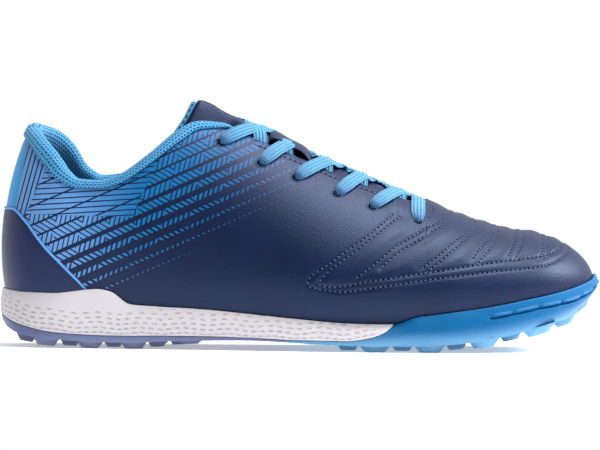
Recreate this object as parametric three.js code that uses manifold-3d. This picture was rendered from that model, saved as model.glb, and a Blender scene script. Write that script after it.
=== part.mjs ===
// A turf shoe for the right foot: a hollow leather upper on a last, with a padded mesh collar,
// a lined tongue, flat laces, a heel counter, an insole, a foam midsole and a two-part rubber
// outsole with moulded lugs.
// Lengths are in millimetres. +X runs from heel to toe, +Y to the inner side of the foot, +Z up.
// The origin is on the ground, under the middle of the shoe.

import * as THREE from "three";
import { mergeVertices } from "three/addons/utils/BufferGeometryUtils.js";
import Module from "manifold-3d";

const wasm = await Module();
wasm.setup();

// Driving dimensions
const soleLength = 290; // heel of the sole to the toe bumper
const ballWidth = 100; // across the upper at the ball of the foot
const instepHeight = 119; // ground to the last's ridge below the tongue's top edge
const heelHeight = 102; // ground to the collar's seam at the back of the heel
const soleHeight = 28; // ground to the top of the sole's side beside the heel
const toeSpring = 18; // how far the sole's toe rises off the ground
const ballShare = 0.7; // where that rise starts, as a share of the length from the heel
const springCurve = 1.75; // exponent of that rise

const upperWall = 2; // leather, foam and lining together
const clearance = 0.3; // between pieces that meet
const counterWall = 0.8; // the heel counter's overlay
const heelInset = counterWall + clearance + 0.1; // the upper's heel, inside the back of the sole
const toeBumper = 2.2; // the sole's toe, in front of the upper's
const sideFlare = 2; // the sole's side, outside the upper's widest line
const lipWall = 1.4; // the sole's rim at the top of its side
const heelRound = 34; // length of the rounded heel end of the outline
const toeRound = 54; // length of the rounded toe end of the outline
const heelAxisInset = 34; // from the upper's back to where its sections start to fan round the heel
const toeAxisInset = 40; // from its toe to where they fan round the toe

const throatEnd = 61; // the toe end of the lace opening, from the origin
const throatTop = -33; // its collar end
const throatHalfTop = 0.125 * ballWidth; // half its width at the collar
const throatHalfToe = 0.13 * ballWidth; // half its width at the toe end
const throatLean = 2.5; // how far its toe end leans to the outer side of the ridge
const eyeletRadius = 2.1;

const counterHeight = 67; // ground to its top edge at the back

const collarRoll = 4.9; // the padded collar's height above its seam
const collarRollHeel = 3.4; // how much taller it is beside the heel
const collarGap = upperWall + 3 * clearance; // from the last's face to its lining
const collarPad = 3.6; // its thickness inside the upper
const collarSwell = 1.08; // how much its roll bulges inwards
const liningWall = 1.6; // at the lower edge of its lining
const collarEnd = -38; // its front ends, from the origin
const collarDepth = 0.42; // how far its lining reaches down inside, in radians of the section

const tongueLeather = 2.3;
const tongueFoam = 2.3; // the lining behind the leather
const tongueSlack = 1.2; // beneath the flaps
const collarSlack = 2.5; // beneath the collar
const tongueTop = -48; // the tongue's top edge on the ridge, from the origin
const tongueToe = 72; // its toe end, under the vamp
const tongueSweep = 26; // how far its corners lie behind the middle of its top edge
const tongueProud = 2.2; // how far it stands above the last there
const tongueHalfTop = 0.225 * ballWidth;
const tongueHalfToe = 0.17 * ballWidth;
const liningOverhang = 2; // of the lining past the leather at the top edge

const keeperLength = 19; // the lace keeper, along the tongue
const keeperWidth = 15;
const keeperWall = 1.1;
const keeperMiddle = -5.5; // its middle, from the origin
const keeperRise = 3.6; // its clear height over the laces' path

const laceWidth = 7;
const laceThickness = 1.2;

const insoleThickness = 4;
const lugHeight = 3.3;
const lugTaper = 0.62; // a lug's tip, as a share of its root
const lugRoot = 0.9; // how far a lug is sunk into the outsole
const grooveDepth = 1.1; // in the toe bumper's side
const outsoleJoint = -6; // where the heel's rubber meets the forefoot's, from the origin

const upperBack = -soleLength / 2 + heelInset;
const upperFront = soleLength / 2 - toeBumper;
const heelAxis = upperBack + heelAxisInset;
const toeAxis = upperFront - toeAxisInset;

// The last. Widths are shares of ballWidth, from the middle line of the outline to its outer
// (lateral) and inner (medial) sides. bulge is the height of the widest line and top that of the
// ridge, as shares of instepHeight without the toe spring. round is the section's exponent.
const lastTable = [
  { at: 0.0, middle: 0.0, ridge: 0.0, outer: 0.33, inner: 0.325, bulge: 0.42, top: 1.084, round: 1.75 },
  { at: 0.08, middle: 0.0, ridge: 0.0, outer: 0.335, inner: 0.33, bulge: 0.41, top: 1.084, round: 1.75 },
  { at: 0.16, middle: 0.0, ridge: 0.0, outer: 0.34, inner: 0.33, bulge: 0.39, top: 1.08, round: 1.75 },
  { at: 0.26, middle: 0.0, ridge: 0.0, outer: 0.358, inner: 0.33, bulge: 0.353, top: 1.052, round: 1.8 },
  { at: 0.34, middle: 0.0, ridge: 0.0, outer: 0.383, inner: 0.343, bulge: 0.324, top: 0.992, round: 1.77 },
  { at: 0.42, middle: 0.0, ridge: 0.005, outer: 0.418, inner: 0.365, bulge: 0.298, top: 0.91, round: 1.68 },
  { at: 0.5, middle: 0.0, ridge: 0.01, outer: 0.455, inner: 0.397, bulge: 0.277, top: 0.829, round: 1.57 },
  { at: 0.58, middle: 0.0, ridge: 0.018, outer: 0.483, inner: 0.437, bulge: 0.26, top: 0.746, round: 1.5 },
  { at: 0.66, middle: 0.003, ridge: 0.027, outer: 0.497, inner: 0.472, bulge: 0.251, top: 0.663, round: 1.52 },
  { at: 0.74, middle: 0.015, ridge: 0.038, outer: 0.496, inner: 0.48, bulge: 0.244, top: 0.574, round: 1.75 },
  { at: 0.82, middle: 0.035, ridge: 0.05, outer: 0.468, inner: 0.458, bulge: 0.222, top: 0.484, round: 1.9 },
  { at: 0.9, middle: 0.058, ridge: 0.062, outer: 0.432, inner: 0.428, bulge: 0.192, top: 0.4, round: 1.93 },
  { at: 1.0, middle: 0.08, ridge: 0.07, outer: 0.4, inner: 0.4, bulge: 0.139, top: 0.33, round: 1.85 },
];

// The collar's seam, seen from each side: heights as shares of heelHeight.
const collarTable = [
  { at: 0.0, outer: 1.12, inner: 1.12 },
  { at: 0.037, outer: 0.995, inner: 1.01 },
  { at: 0.066, outer: 0.885, inner: 0.969 },
  { at: 0.098, outer: 0.789, inner: 0.909 },
  { at: 0.132, outer: 0.751, inner: 0.812 },
  { at: 0.166, outer: 0.752, inner: 0.766 },
  { at: 0.199, outer: 0.776, inner: 0.776 },
  { at: 0.249, outer: 0.869, inner: 0.869 },
  { at: 0.299, outer: 0.979, inner: 0.979 },
  { at: 0.333, outer: 1.037, inner: 1.037 },
  { at: 0.366, outer: 1.046, inner: 1.046 },
  { at: 0.385, outer: 1.055, inner: 1.055 },
  { at: 0.42, outer: 1.15, inner: 1.15 },
];

// The sole's levels as shares of soleHeight, without the toe spring: its underside between the
// lugs, the line between rubber and foam, the top of its side, and the floor the foot stands on.
const soleTable = [
  { at: 0.0, under: 0.44, split: 0.545, lip: 0.993, floor: 0.63 },
  { at: 0.015, under: 0.315, split: 0.47, lip: 0.965, floor: 0.6 },
  { at: 0.04, under: 0.206, split: 0.375, lip: 0.939, floor: 0.57 },
  { at: 0.09, under: 0.15, split: 0.275, lip: 0.93, floor: 0.55 },
  { at: 0.165, under: 0.115, split: 0.23, lip: 1.008, floor: 0.535 },
  { at: 0.187, under: 0.109, split: 0.226, lip: 0.965, floor: 0.53 },
  { at: 0.22, under: 0.107, split: 0.226, lip: 0.748, floor: 0.52 },
  { at: 0.26, under: 0.128, split: 0.232, lip: 0.72, floor: 0.49 },
  { at: 0.34, under: 0.158, split: 0.236, lip: 0.68, floor: 0.43 },
  { at: 0.42, under: 0.172, split: 0.222, lip: 0.61, floor: 0.38 },
  { at: 0.5, under: 0.14, split: 0.192, lip: 0.535, floor: 0.335 },
  { at: 0.58, under: 0.112, split: 0.19, lip: 0.475, floor: 0.305 },
  { at: 0.612, under: 0.107, split: 0.235, lip: 0.468, floor: 0.3 },
  { at: 0.64, under: 0.107, split: 0.33, lip: 0.465, floor: 0.3 },
  { at: 0.657, under: 0.107, split: 0.48, lip: 0.47, floor: 0.302 },
  { at: 0.7, under: 0.107, split: 1.0, lip: 0.607, floor: 0.31 },
  { at: 0.78, under: 0.107, split: 1.5, lip: 0.655, floor: 0.33 },
  { at: 0.86, under: 0.107, split: 2.0, lip: 0.65, floor: 0.35 },
  { at: 0.95, under: 0.12, split: 2.0, lip: 0.615, floor: 0.36 },
  { at: 0.985, under: 0.23, split: 2.0, lip: 0.64, floor: 0.37 },
  { at: 1.0, under: 0.36, split: 2.0, lip: 0.76, floor: 0.4 },
];

// Eyelets along each side of the lace opening, from the toe to the collar: high is a share of
// instepHeight. From each eyelet a lace runs inwards and towards the toe; cross is how far along
// it is at the ridge, as a share of the way to the next eyelet.
const eyeletTable = [
  { at: 0.6955, high: 0.524, cross: 0 },
  { at: 0.62, high: 0.582, cross: 0.5 },
  { at: 0.5617, high: 0.634, cross: 0.75 },
  { at: 0.4934, high: 0.697, cross: 0.85 },
  { at: 0.4348, high: 0.754, cross: 0.82 },
  { at: 0.3679, high: 0.837, cross: 0.72 },
];

// Rows of lugs: how far across the sole (-1 outer edge, 1 inner edge), where the first and last
// are along it, how many, their sizes, and their height as a share of lugHeight.
const lugTable = [
  { part: "heel", across: -0.8, from: 0.08, to: 0.226, count: 3, long: 11.6, wide: 10, tall: 1 },
  { part: "heel", across: -0.76, from: 0.321, to: 0.321, count: 1, long: 10.5, wide: 8, tall: 0.5 },
  { part: "heel", across: 0.8, from: 0.045, to: 0.264, count: 4, long: 11.6, wide: 10, tall: 1 },
  { part: "heel", across: -0.27, from: 0.045, to: 0.264, count: 4, long: 9, wide: 9, tall: 1 },
  { part: "heel", across: 0.27, from: 0.08, to: 0.299, count: 4, long: 9, wide: 9, tall: 1 },
  { part: "forefoot", across: -0.83, from: 0.626, to: 0.898, count: 4, long: 13.4, wide: 11, tall: 1 },
  { part: "forefoot", across: 0.83, from: 0.582, to: 0.943, count: 5, long: 13, wide: 11, tall: 1 },
  { part: "forefoot", across: -0.42, from: 0.582, to: 0.943, count: 5, long: 10, wide: 10, tall: 1 },
  { part: "forefoot", across: 0, from: 0.626, to: 0.898, count: 4, long: 10, wide: 10, tall: 1 },
  { part: "forefoot", across: 0.42, from: 0.626, to: 0.898, count: 4, long: 10, wide: 10, tall: 1 },
];

// Sampling
const heelSteps = 6;
const toeSteps = 7;
const straightStep = 12.6;
const wallSteps = 6; // from the sole's rim up to the upper's edge
const throatSteps = 3;
const tongueRows = 11;
const tongueColumns = 8;

const lowerRound = 2.4; // exponent of the section below its widest line
const lowerDepth = 1.65; // how much deeper that curve is than the sole's floor

// A smooth curve through one column of a table.
function column(table, name, at) {
  const last = table.length - 1;
  if (at <= table[0].at) return table[0][name];
  if (at >= table[last].at) return table[last][name];
  const i = table.findIndex((row) => row.at > at) - 1;
  const slope = (k) => {
    if (k <= 0 || k >= last) return 0;
    const before = (table[k][name] - table[k - 1][name]) / (table[k].at - table[k - 1].at);
    const after = (table[k + 1][name] - table[k][name]) / (table[k + 1].at - table[k].at);
    return before * after <= 0 ? 0 : (2 * before * after) / (before + after);
  };
  const width = table[i + 1].at - table[i].at;
  const t = (at - table[i].at) / width;
  const rise = 3 * t * t - 2 * t * t * t;
  const bow = width * (slope(i) * (t - 2 * t * t + t ** 3) + slope(i + 1) * (t ** 3 - t * t));
  return table[i][name] * (1 - rise) + table[i + 1][name] * rise + bow;
}

const share = (x) => (x + soleLength / 2) / soleLength;
const place = (at) => at * soleLength - soleLength / 2;
const clamp = (value, low, high) => Math.min(high, Math.max(low, value));
const mix = (a, b, t) => a + (b - a) * t;
const smooth = (t) => {
  const c = clamp(t, 0, 1);
  return c * c * (3 - 2 * c);
};

function spring(x) {
  return toeSpring * Math.max(0, (share(x) - ballShare) / (1 - ballShare)) ** springCurve;
}

const level = (name, x) => soleHeight * column(soleTable, name, share(x)) + spring(x);
const width = (name, x) => ballWidth * column(lastTable, name, share(x));

// How much of its width the outline keeps at its rounded ends.
function endRound(x) {
  const heel = clamp((upperBack + heelRound - x) / heelRound, 0, 1);
  const toe = clamp((x - upperFront + toeRound) / toeRound, 0, 1);
  return (1 - heel ** 2.2) ** (1 / 2.2) * (1 - toe ** 2.3) ** (1 / 2.3);
}

// The upper's outline, seen from above: side is -1 for the outer side and 1 for the inner.
function outline(side, x) {
  const half = width(side < 0 ? "outer" : "inner", x) * endRound(x);
  return new THREE.Vector2(x, width("middle", x) + side * half);
}

// One upright half-section of the last. It starts at a point of the ridge and faces the outline.
function station(side, x) {
  const base = outline(side, x);
  const ridgeX = clamp(x, heelAxis, toeAxis);
  const ridge = new THREE.Vector2(ridgeX, width("ridge", ridgeX));
  const out = base.clone().sub(ridge);
  const reach = out.length();
  out.normalize();
  const top = instepHeight * column(lastTable, "top", share(ridgeX)) + spring(ridgeX);
  const bulge = instepHeight * column(lastTable, "bulge", share(x)) + spring(x);
  const round = column(lastTable, "round", share(x));
  return { side, x, ridge, out, reach, top, bulge, round, floor: level("floor", x), lip: level("lip", x) };
}

// A point of a section at an angle from its widest line, moved in by inset: (distance, height).
function sectionPoint(st, angle, inset = 0) {
  const wide = st.reach - inset;
  if (angle >= 0) {
    const power = 2 / st.round;
    const high = st.top - inset - st.bulge;
    return [wide * Math.max(0, Math.cos(angle)) ** power, st.bulge + high * Math.sin(angle) ** power];
  }
  const power = 2 / lowerRound;
  const deep = lowerDepth * (st.bulge - st.floor);
  return [wide * Math.cos(angle) ** power, st.bulge - deep * Math.sin(-angle) ** power];
}

function angleAtHeight(st, z) {
  if (z >= st.bulge) return Math.asin(clamp((z - st.bulge) / (st.top - st.bulge), 0, 1) ** (st.round / 2));
  const deep = lowerDepth * (st.bulge - st.floor);
  return -Math.asin(clamp((st.bulge - z) / deep, 0, 1) ** (lowerRound / 2));
}

function angleAtReach(st, r) {
  return Math.acos(clamp(r / st.reach, 0, 1) ** (st.round / 2));
}

// A distance and a height in a station's plane, as a point of the shoe.
function inSpace(st, [r, z]) {
  return new THREE.Vector3(st.ridge.x + st.out.x * r, st.ridge.y + st.out.y * r, z);
}

const onLast = (st, angle, inset = 0) => inSpace(st, sectionPoint(st, angle, inset));

// From the ridge to the edge of the lace opening, which ends in a half circle.
function throatHalf(side, x) {
  const along = clamp((x - throatTop) / (throatEnd - throatTop), 0, 1);
  const half = mix(throatHalfTop, throatHalfToe, along);
  const into = clamp((x - throatEnd + throatHalfToe) / throatHalfToe, 0, 1);
  return (half - side * throatLean * along) * Math.sqrt(1 - into * into);
}

// Where a section of the upper ends: at the collar's seam, the lace opening or the ridge.
function edgeAngle(st) {
  if (st.x >= throatEnd) return Math.PI / 2;
  const name = st.side < 0 ? "outer" : "inner";
  let low = angleAtHeight(st, st.lip);
  let high = Math.PI / 2;
  for (let i = 0; i < 40; i++) {
    const middle = (low + high) / 2;
    const point = onLast(st, middle);
    if (point.z < heelHeight * column(collarTable, name, share(point.x))) low = middle;
    else high = middle;
  }
  const throat = angleAtReach(st, throatHalf(st.side, st.x));
  const sharpness = 22;
  return -Math.log(Math.exp(-sharpness * low) + Math.exp(-sharpness * throat)) / sharpness;
}

// Places from the back of the heel to the tip of the toe, with one at the collar's front ends
// and one at the lace opening's toe end.
function placesAlong() {
  const places = [];
  for (let i = 0; i < heelSteps; i++) {
    places.push(upperBack + heelAxisInset * (1 - Math.cos((i / heelSteps) * (Math.PI / 2))));
  }
  const throatRound = throatEnd - throatHalfToe;
  const spread = (from, to) => {
    const count = Math.ceil((to - from) / straightStep);
    for (let i = 0; i < count; i++) places.push(mix(from, to, i / count));
  };
  spread(heelAxis, collarEnd);
  spread(collarEnd, throatRound);
  for (let i = 0; i < throatSteps; i++) {
    places.push(throatRound + throatHalfToe * Math.sin((i / throatSteps) * (Math.PI / 2)));
  }
  spread(throatEnd, toeAxis);
  for (let i = 0; i <= toeSteps; i++) {
    places.push(toeAxis + toeAxisInset * Math.sin((i / toeSteps) * (Math.PI / 2)));
  }
  return places;
}

// All stations in a ring: outer side from heel to toe, then inner side back again.
const placeList = placesAlong();
const ring = [
  ...placeList.map((x) => station(-1, x)),
  ...placeList.slice(1, -1).reverse().map((x) => station(1, x)),
];
const stationsOf = (side) => placeList.map((x) => station(side, x));

// Turns faces, as lists of points, into a closed geometry with its faces pointing out.
function closedGeometry(faces) {
  const positions = [];
  for (const face of faces) {
    for (let i = 2; i < face.length; i++) {
      for (const p of [face[0], face[i - 1], face[i]]) positions.push(p.x, p.y, p.z);
    }
  }
  const loose = new THREE.BufferGeometry();
  loose.setAttribute("position", new THREE.Float32BufferAttribute(positions, 3));
  const merged = mergeVertices(loose, 1e-3);
  const index = [];
  const at = (i) => new THREE.Vector3().fromBufferAttribute(merged.attributes.position, i);
  let volume = 0;
  for (let i = 0; i < merged.index.count; i += 3) {
    const [a, b, c] = [0, 1, 2].map((k) => merged.index.getX(i + k));
    if (a === b || b === c || c === a) continue;
    index.push(a, b, c);
    volume += at(a).dot(at(b).cross(at(c)));
  }
  if (volume < 0) index.reverse();
  merged.setIndex(index);
  return merged;
}

// Joins sections, each a loop of points. skip(j, k) leaves out edge k between sections j and j + 1.
function ringGeometry(sections, skip = () => false) {
  const faces = [];
  sections.forEach((section, j) => {
    const next = sections[(j + 1) % sections.length];
    section.forEach((p, k) => {
      const l = (k + 1) % section.length;
      if (!skip(j, k)) faces.push([p, next[k], next[l]], [p, next[l], section[l]]);
    });
  });
  return closedGeometry(faces);
}

// Joins sections along a path and closes its two ends. flat(j) gives section j's points in 2D.
function sweepGeometry(sections, flat) {
  const faces = [];
  for (let j = 0; j + 1 < sections.length; j++) {
    sections[j].forEach((p, k) => {
      const l = (k + 1) % sections[j].length;
      faces.push([p, sections[j + 1][k], sections[j + 1][l]], [p, sections[j + 1][l], sections[j][l]]);
    });
  }
  for (const j of [0, sections.length - 1]) {
    const loop = flat(j);
    const loopArea = THREE.ShapeUtils.area(loop);
    for (const corners of THREE.ShapeUtils.triangulateShape(loop, [])) {
      const [p, q, r] = corners.map((i) => sections[j][i]);
      const follows = THREE.ShapeUtils.area(corners.map((i) => loop[i])) * loopArea > 0;
      faces.push(follows === (j === 0) ? [p, q, r] : [p, r, q]);
    }
  }
  return closedGeometry(faces);
}

// A sheet between two grids of points, closed round its border.
function sheetGeometry(front, back) {
  const faces = [];
  const rows = front.length - 1;
  const columns = front[0].length - 1;
  const quad = (a, b, c, d) => faces.push([a, b, c], [a, c, d]);
  for (let j = 0; j < rows; j++) {
    for (let k = 0; k < columns; k++) {
      quad(front[j][k], front[j + 1][k], front[j + 1][k + 1], front[j][k + 1]);
      quad(back[j][k], back[j][k + 1], back[j + 1][k + 1], back[j + 1][k]);
    }
    quad(front[j][0], back[j][0], back[j + 1][0], front[j + 1][0]);
    quad(front[j + 1][columns], back[j + 1][columns], back[j][columns], front[j][columns]);
  }
  for (let k = 0; k < columns; k++) {
    quad(front[0][k + 1], back[0][k + 1], back[0][k], front[0][k]);
    quad(front[rows][k], back[rows][k], back[rows][k + 1], front[rows][k + 1]);
  }
  return closedGeometry(faces);
}

function solidOf(geometry) {
  return new wasm.Manifold(
    new wasm.Mesh({
      numProp: 3,
      vertProperties: new Float32Array(geometry.attributes.position.array),
      triVerts: new Uint32Array(geometry.index.array),
    }),
  );
}

function geometryOf(solid) {
  const mesh = solid.getMesh();
  const geometry = new THREE.BufferGeometry();
  geometry.setAttribute("position", new THREE.BufferAttribute(new Float32Array(mesh.vertProperties), 3));
  geometry.setIndex(new THREE.BufferAttribute(new Uint32Array(mesh.triVerts), 1));
  return geometry;
}

// The cup's floor across a section: knots of distance from the ridge and height.
function floorKnots(st) {
  const xAt = (r) => st.ridge.x + st.out.x * r;
  const seat = sectionPoint(st, angleAtHeight(st, st.floor + clearance))[0] + clearance;
  return [[0, level("floor", xAt(0))], [0.6 * seat, level("floor", xAt(0.6 * seat))], [seat, st.floor]];
}

// Heights up a section, shared by the upper and the cup of the sole so that their walls stay apart.
const seatLevels = (st) => [st.floor + clearance, (st.floor + st.lip) / 2, st.lip];

// The upper's wall from the sole's floor to its edge, at one depth below its face.
function wallPoints(st, inset) {
  const edge = edgeAngle(st);
  const start = angleAtHeight(st, st.lip);
  const points = seatLevels(st).map((z) => {
    const [r] = sectionPoint(st, angleAtHeight(st, z), inset);
    return inSpace(st, [r, z]);
  });
  for (let k = 1; k <= wallSteps; k++) points.push(onLast(st, mix(start, edge, k / wallSteps), inset));
  return points;
}

function eyeletPlaces() {
  return [-1, 1].flatMap((side) =>
    eyeletTable.map(({ at, high }) => {
      const st = station(side, place(at));
      return { st, angle: angleAtHeight(st, high * instepHeight) };
    }),
  );
}

// The outward direction of a section at an angle, within its plane.
function outward(st, angle) {
  const [r0, z0] = sectionPoint(st, angle - 0.02);
  const [r1, z1] = sectionPoint(st, Math.min(angle + 0.02, Math.PI / 2));
  const turn = new THREE.Vector2(z1 - z0, r0 - r1).normalize();
  return new THREE.Vector3(st.out.x * turn.x, st.out.y * turn.x, turn.y);
}

// The same direction, square to the last's face along the shoe too.
function facing(st, angle) {
  const out = outward(st, angle);
  const [ahead, behind] = [1, -1].map((step) => onLast(station(st.side, st.x + step), angle));
  const along = ahead.sub(behind).normalize();
  return out.addScaledVector(along, -out.dot(along)).normalize();
}

function upperShape() {
  const closed = (j) => ring[j % ring.length].x >= throatEnd;
  const sections = ring.map((st) => [...wallPoints(st, 0), ...wallPoints(st, upperWall).reverse()]);
  const edge = sections[0].length / 2 - 1;
  let solid = solidOf(ringGeometry(sections, (j, k) => k === edge && closed(j) && closed(j + 1)));
  for (const { st, angle } of eyeletPlaces()) {
    const hole = new THREE.CylinderGeometry(eyeletRadius, eyeletRadius, 5 * upperWall, 8);
    hole.deleteAttribute("normal");
    hole.deleteAttribute("uv");
    const turn = new THREE.Quaternion().setFromUnitVectors(new THREE.Vector3(0, 1, 0), outward(st, angle));
    hole.applyQuaternion(turn);
    const centre = onLast(st, angle);
    hole.translate(centre.x, centre.y, centre.z);
    solid = solid.subtract(solidOf(mergeVertices(hole, 1e-3)));
  }
  return geometryOf(solid);
}

// The overlay round the back of the heel. Its top edge falls in a straight line to the sole.
function counterShape() {
  const front = 0.148;
  const level0 = 0.026;
  const topAt = (st) => {
    const fall = clamp((share(st.x) - level0) / (front - level0), 0, 1);
    return mix(counterHeight, st.lip + 3, fall);
  };
  const inside = (list) => list.filter((st) => share(st.x) <= front);
  const path = [...inside(stationsOf(-1)).reverse(), ...inside(stationsOf(1)).slice(1)];
  const layer = (lift) =>
    path.map((st) => {
      const low = angleAtHeight(st, st.lip + clearance);
      const high = angleAtHeight(st, topAt(st));
      return [0, 0.25, 0.5, 0.75, 1].map((t) => onLast(st, mix(low, high, t), -lift));
    });
  return sheetGeometry(layer(clearance + counterWall), layer(clearance));
}

// The collar: a padded roll over the upper's edge, with a lining down inside it.
function collarShape() {
  const behind = (side) => stationsOf(side).filter((st) => st.x <= collarEnd);
  const path = [...behind(-1).reverse(), ...behind(1).slice(1)];
  const edges = path.map((st) => onLast(st, edgeAngle(st)));
  const sections = path.map((st, j) => {
    const edge = edgeAngle(st);
    const out = outward(st, edge);
    const along = edges[Math.min(j + 1, edges.length - 1)].clone().sub(edges[Math.max(j - 1, 0)]).normalize();
    const up = along.clone().cross(out).normalize();
    if (up.z < 0) up.negate();
    const taper = mix(0.75, 1, smooth((collarEnd - st.x) / 22));
    const heelSide = Math.exp(-(((share(st.x) - 0.07) / 0.05) ** 2));
    const tall = taper * (collarRoll + collarRollHeel * heelSide);
    const thick = collarGap + collarPad * taper;
    const at = (u, n) => edges[j].clone().addScaledVector(up, u).addScaledVector(out, n);
    const roll = [
      at(clearance, 0.5),
      at(0.3 * tall, 1.3 * taper),
      at(0.7 * tall, 0.7 * taper),
      at(0.95 * tall, -0.25 * thick),
      at(tall, -0.5 * thick),
      at(0.85 * tall, -0.85 * thick),
      at(0.4 * tall, -collarSwell * thick),
    ];
    const low = Math.max(edge - collarDepth, angleAtHeight(st, st.lip + 12));
    const inner = [0.25, 0.6, 1].map((t) =>
      onLast(st, mix(edge, low, t), mix(thick * collarSwell, collarGap + liningWall, t * t)),
    );
    const outer = [1, 0.6, 0.25].map((t) => onLast(st, mix(edge, low, t), collarGap));
    return [...roll, ...inner, ...outer, at(clearance, -collarGap)];
  });
  const flat = (j) => {
    const out = outward(path[j], edgeAngle(path[j]));
    const up = sections[j][0].clone().sub(sections[j][9]);
    up.addScaledVector(out, -up.dot(out)).normalize();
    return sections[j].map((p) => new THREE.Vector2(p.dot(up), p.dot(out)));
  };
  return sweepGeometry(sections, flat);
}

// The sole's solid block: a cup with a rounded side, before it is parted into rubber and foam.
const wallShares = [0.08, 0.3, 0.555, 0.6, 0.645, 0.82, 1];
const grooveStep = wallShares.indexOf(0.6);

function soleSection(st) {
  const flare = mix(sideFlare, heelInset, smooth((heelAxis - st.x) / heelAxisInset));
  const ahead = mix(flare, toeBumper, smooth((st.x - toeAxis) / toeAxisInset));
  const wide = st.reach + ahead;
  const roll = mix(1.2, 4, smooth((share(st.x) - 0.62) / 0.1));
  const xAt = (r) => st.ridge.x + st.out.x * r;
  const at = (r, z) => inSpace(st, [r, z]);
  const lipInner = sectionPoint(st, angleAtHeight(st, st.lip))[0] + clearance;
  const lipOuter = Math.min(lipInner + lipWall, wide);
  const belly = 0.5;
  const under = level("under", xAt(wide));
  const side = wallShares.map((w, k) => {
    const inset = w < belly ? roll * (1 - w / belly) ** 2 : 0;
    const lean = w > belly ? (wide - lipOuter) * ((w - belly) / (1 - belly)) ** 2 : 0;
    const groove = k === grooveStep ? grooveDepth * smooth((share(st.x) - 0.815) / 0.03) : 0;
    return at(wide - inset - lean - groove, mix(under, st.lip, w));
  });
  const bottom = [0, 0.5, 0.8].map((f) => at(f * wide, level("under", xAt(f * wide))));
  const edge = at(wide - roll - 1.5, level("under", xAt(wide - roll - 1.5)));
  const seat = seatLevels(st)
    .map((z, k) => {
      const [r] = sectionPoint(st, angleAtHeight(st, z));
      return at(r + clearance, k === 0 ? st.floor : z);
    })
    .reverse();
  const floor = floorKnots(st).slice(0, 2).reverse().map(([r, z]) => at(r, z));
  return [...bottom, edge, ...side, ...seat, ...floor];
}

function soleBlock() {
  const sections = ring.map(soleSection);
  const closing = sections[0].length - 1;
  return solidOf(ringGeometry(sections, (j, k) => k === closing));
}

// A slab across the whole shoe whose upper face follows the line between rubber and foam.
function splitSlab(from, to, lift) {
  const steps = 48;
  const low = -2 * soleHeight;
  const shape = new THREE.Shape();
  shape.moveTo(from, low);
  shape.lineTo(to, low);
  for (let i = steps; i >= 0; i--) {
    const x = mix(from, to, i / steps);
    shape.lineTo(x, level("split", x) + lift);
  }
  const geometry = new THREE.ExtrudeGeometry(shape, { depth: 2 * ballWidth, bevelEnabled: false });
  geometry.deleteAttribute("normal");
  geometry.deleteAttribute("uv");
  geometry.rotateX(Math.PI / 2);
  geometry.translate(0, ballWidth, 0);
  return solidOf(mergeVertices(geometry, 1e-3));
}

// A lug: a block with cut corners that narrows downwards. Its tip is level with the ground where
// the sole is, and follows the sole's underside where that rises.
function lugSolid(centre, { long, wide, tall }) {
  const corner = 0.45;
  const loop = [
    [-1, -corner], [-corner, -1], [corner, -1], [1, -corner], [1, corner], [corner, 1], [-corner, 1], [-1, corner],
  ];
  const points = (scale, height) =>
    loop.map(([u, v]) => {
      const x = centre.x + (u * long * scale) / 2;
      return new THREE.Vector3(x, centre.y + (v * wide * scale) / 2, height(x));
    });
  const tip = points(lugTaper, (x) => Math.max(0, level("under", x) - tall * lugHeight));
  const root = points(1, (x) => level("under", x) + lugRoot);
  const faces = [];
  loop.forEach((_, k) => {
    const l = (k + 1) % loop.length;
    faces.push([tip[k], root[k], root[l]], [tip[k], root[l], tip[l]]);
    if (k > 1) faces.push([tip[0], tip[k - 1], tip[k]], [root[0], root[k], root[k - 1]]);
  });
  return solidOf(closedGeometry(faces));
}

function lugs(part) {
  return lugTable
    .filter((row) => row.part === part)
    .flatMap((row) =>
      Array.from({ length: row.count }, (_, i) => {
        const at = row.count > 1 ? mix(row.from, row.to, i / (row.count - 1)) : row.from;
        const x = place(at);
        const edge = outline(Math.sign(row.across) || 1, x);
        const middle = width("middle", x);
        const y = middle + Math.abs(row.across) * (edge.y - middle);
        return lugSolid(new THREE.Vector2(x, y), row);
      }),
    );
}

function soleShapes() {
  const block = soleBlock();
  const ends = soleLength;
  const joint = outsoleJoint;
  const heelSlab = splitSlab(-ends, joint - clearance / 2, 0);
  const foreSlab = splitSlab(joint + clearance / 2, ends, 0);
  const all = splitSlab(-ends, ends, clearance);
  const withLugs = (solid, part) => lugs(part).reduce((joined, lug) => joined.add(lug), solid);
  return {
    midsole: geometryOf(block.subtract(all)),
    outsoleHeel: geometryOf(withLugs(block.intersect(heelSlab), "heel")),
    outsoleForefoot: geometryOf(withLugs(block.intersect(foreSlab), "forefoot")),
  };
}

// The insole lies on the floor, inside the upper's wall.
function insoleShape() {
  const sections = ring.map((st) => {
    const [middle, half, seat] = floorKnots(st);
    const edge = seat[0] - upperWall - 4 * clearance;
    const rim = [edge, mix(half[1], seat[1], (edge - half[0]) / (seat[0] - half[0]))];
    const knots = [middle, half, rim];
    const at = ([r, z], lift) => inSpace(st, [r, z + lift]);
    return [
      ...knots.map((knot) => at(knot, clearance)),
      ...knots.reverse().map((knot) => at(knot, clearance + insoleThickness)),
    ];
  });
  const closing = sections[0].length - 1;
  return ringGeometry(sections, (j, k) => k === closing);
}

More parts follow.
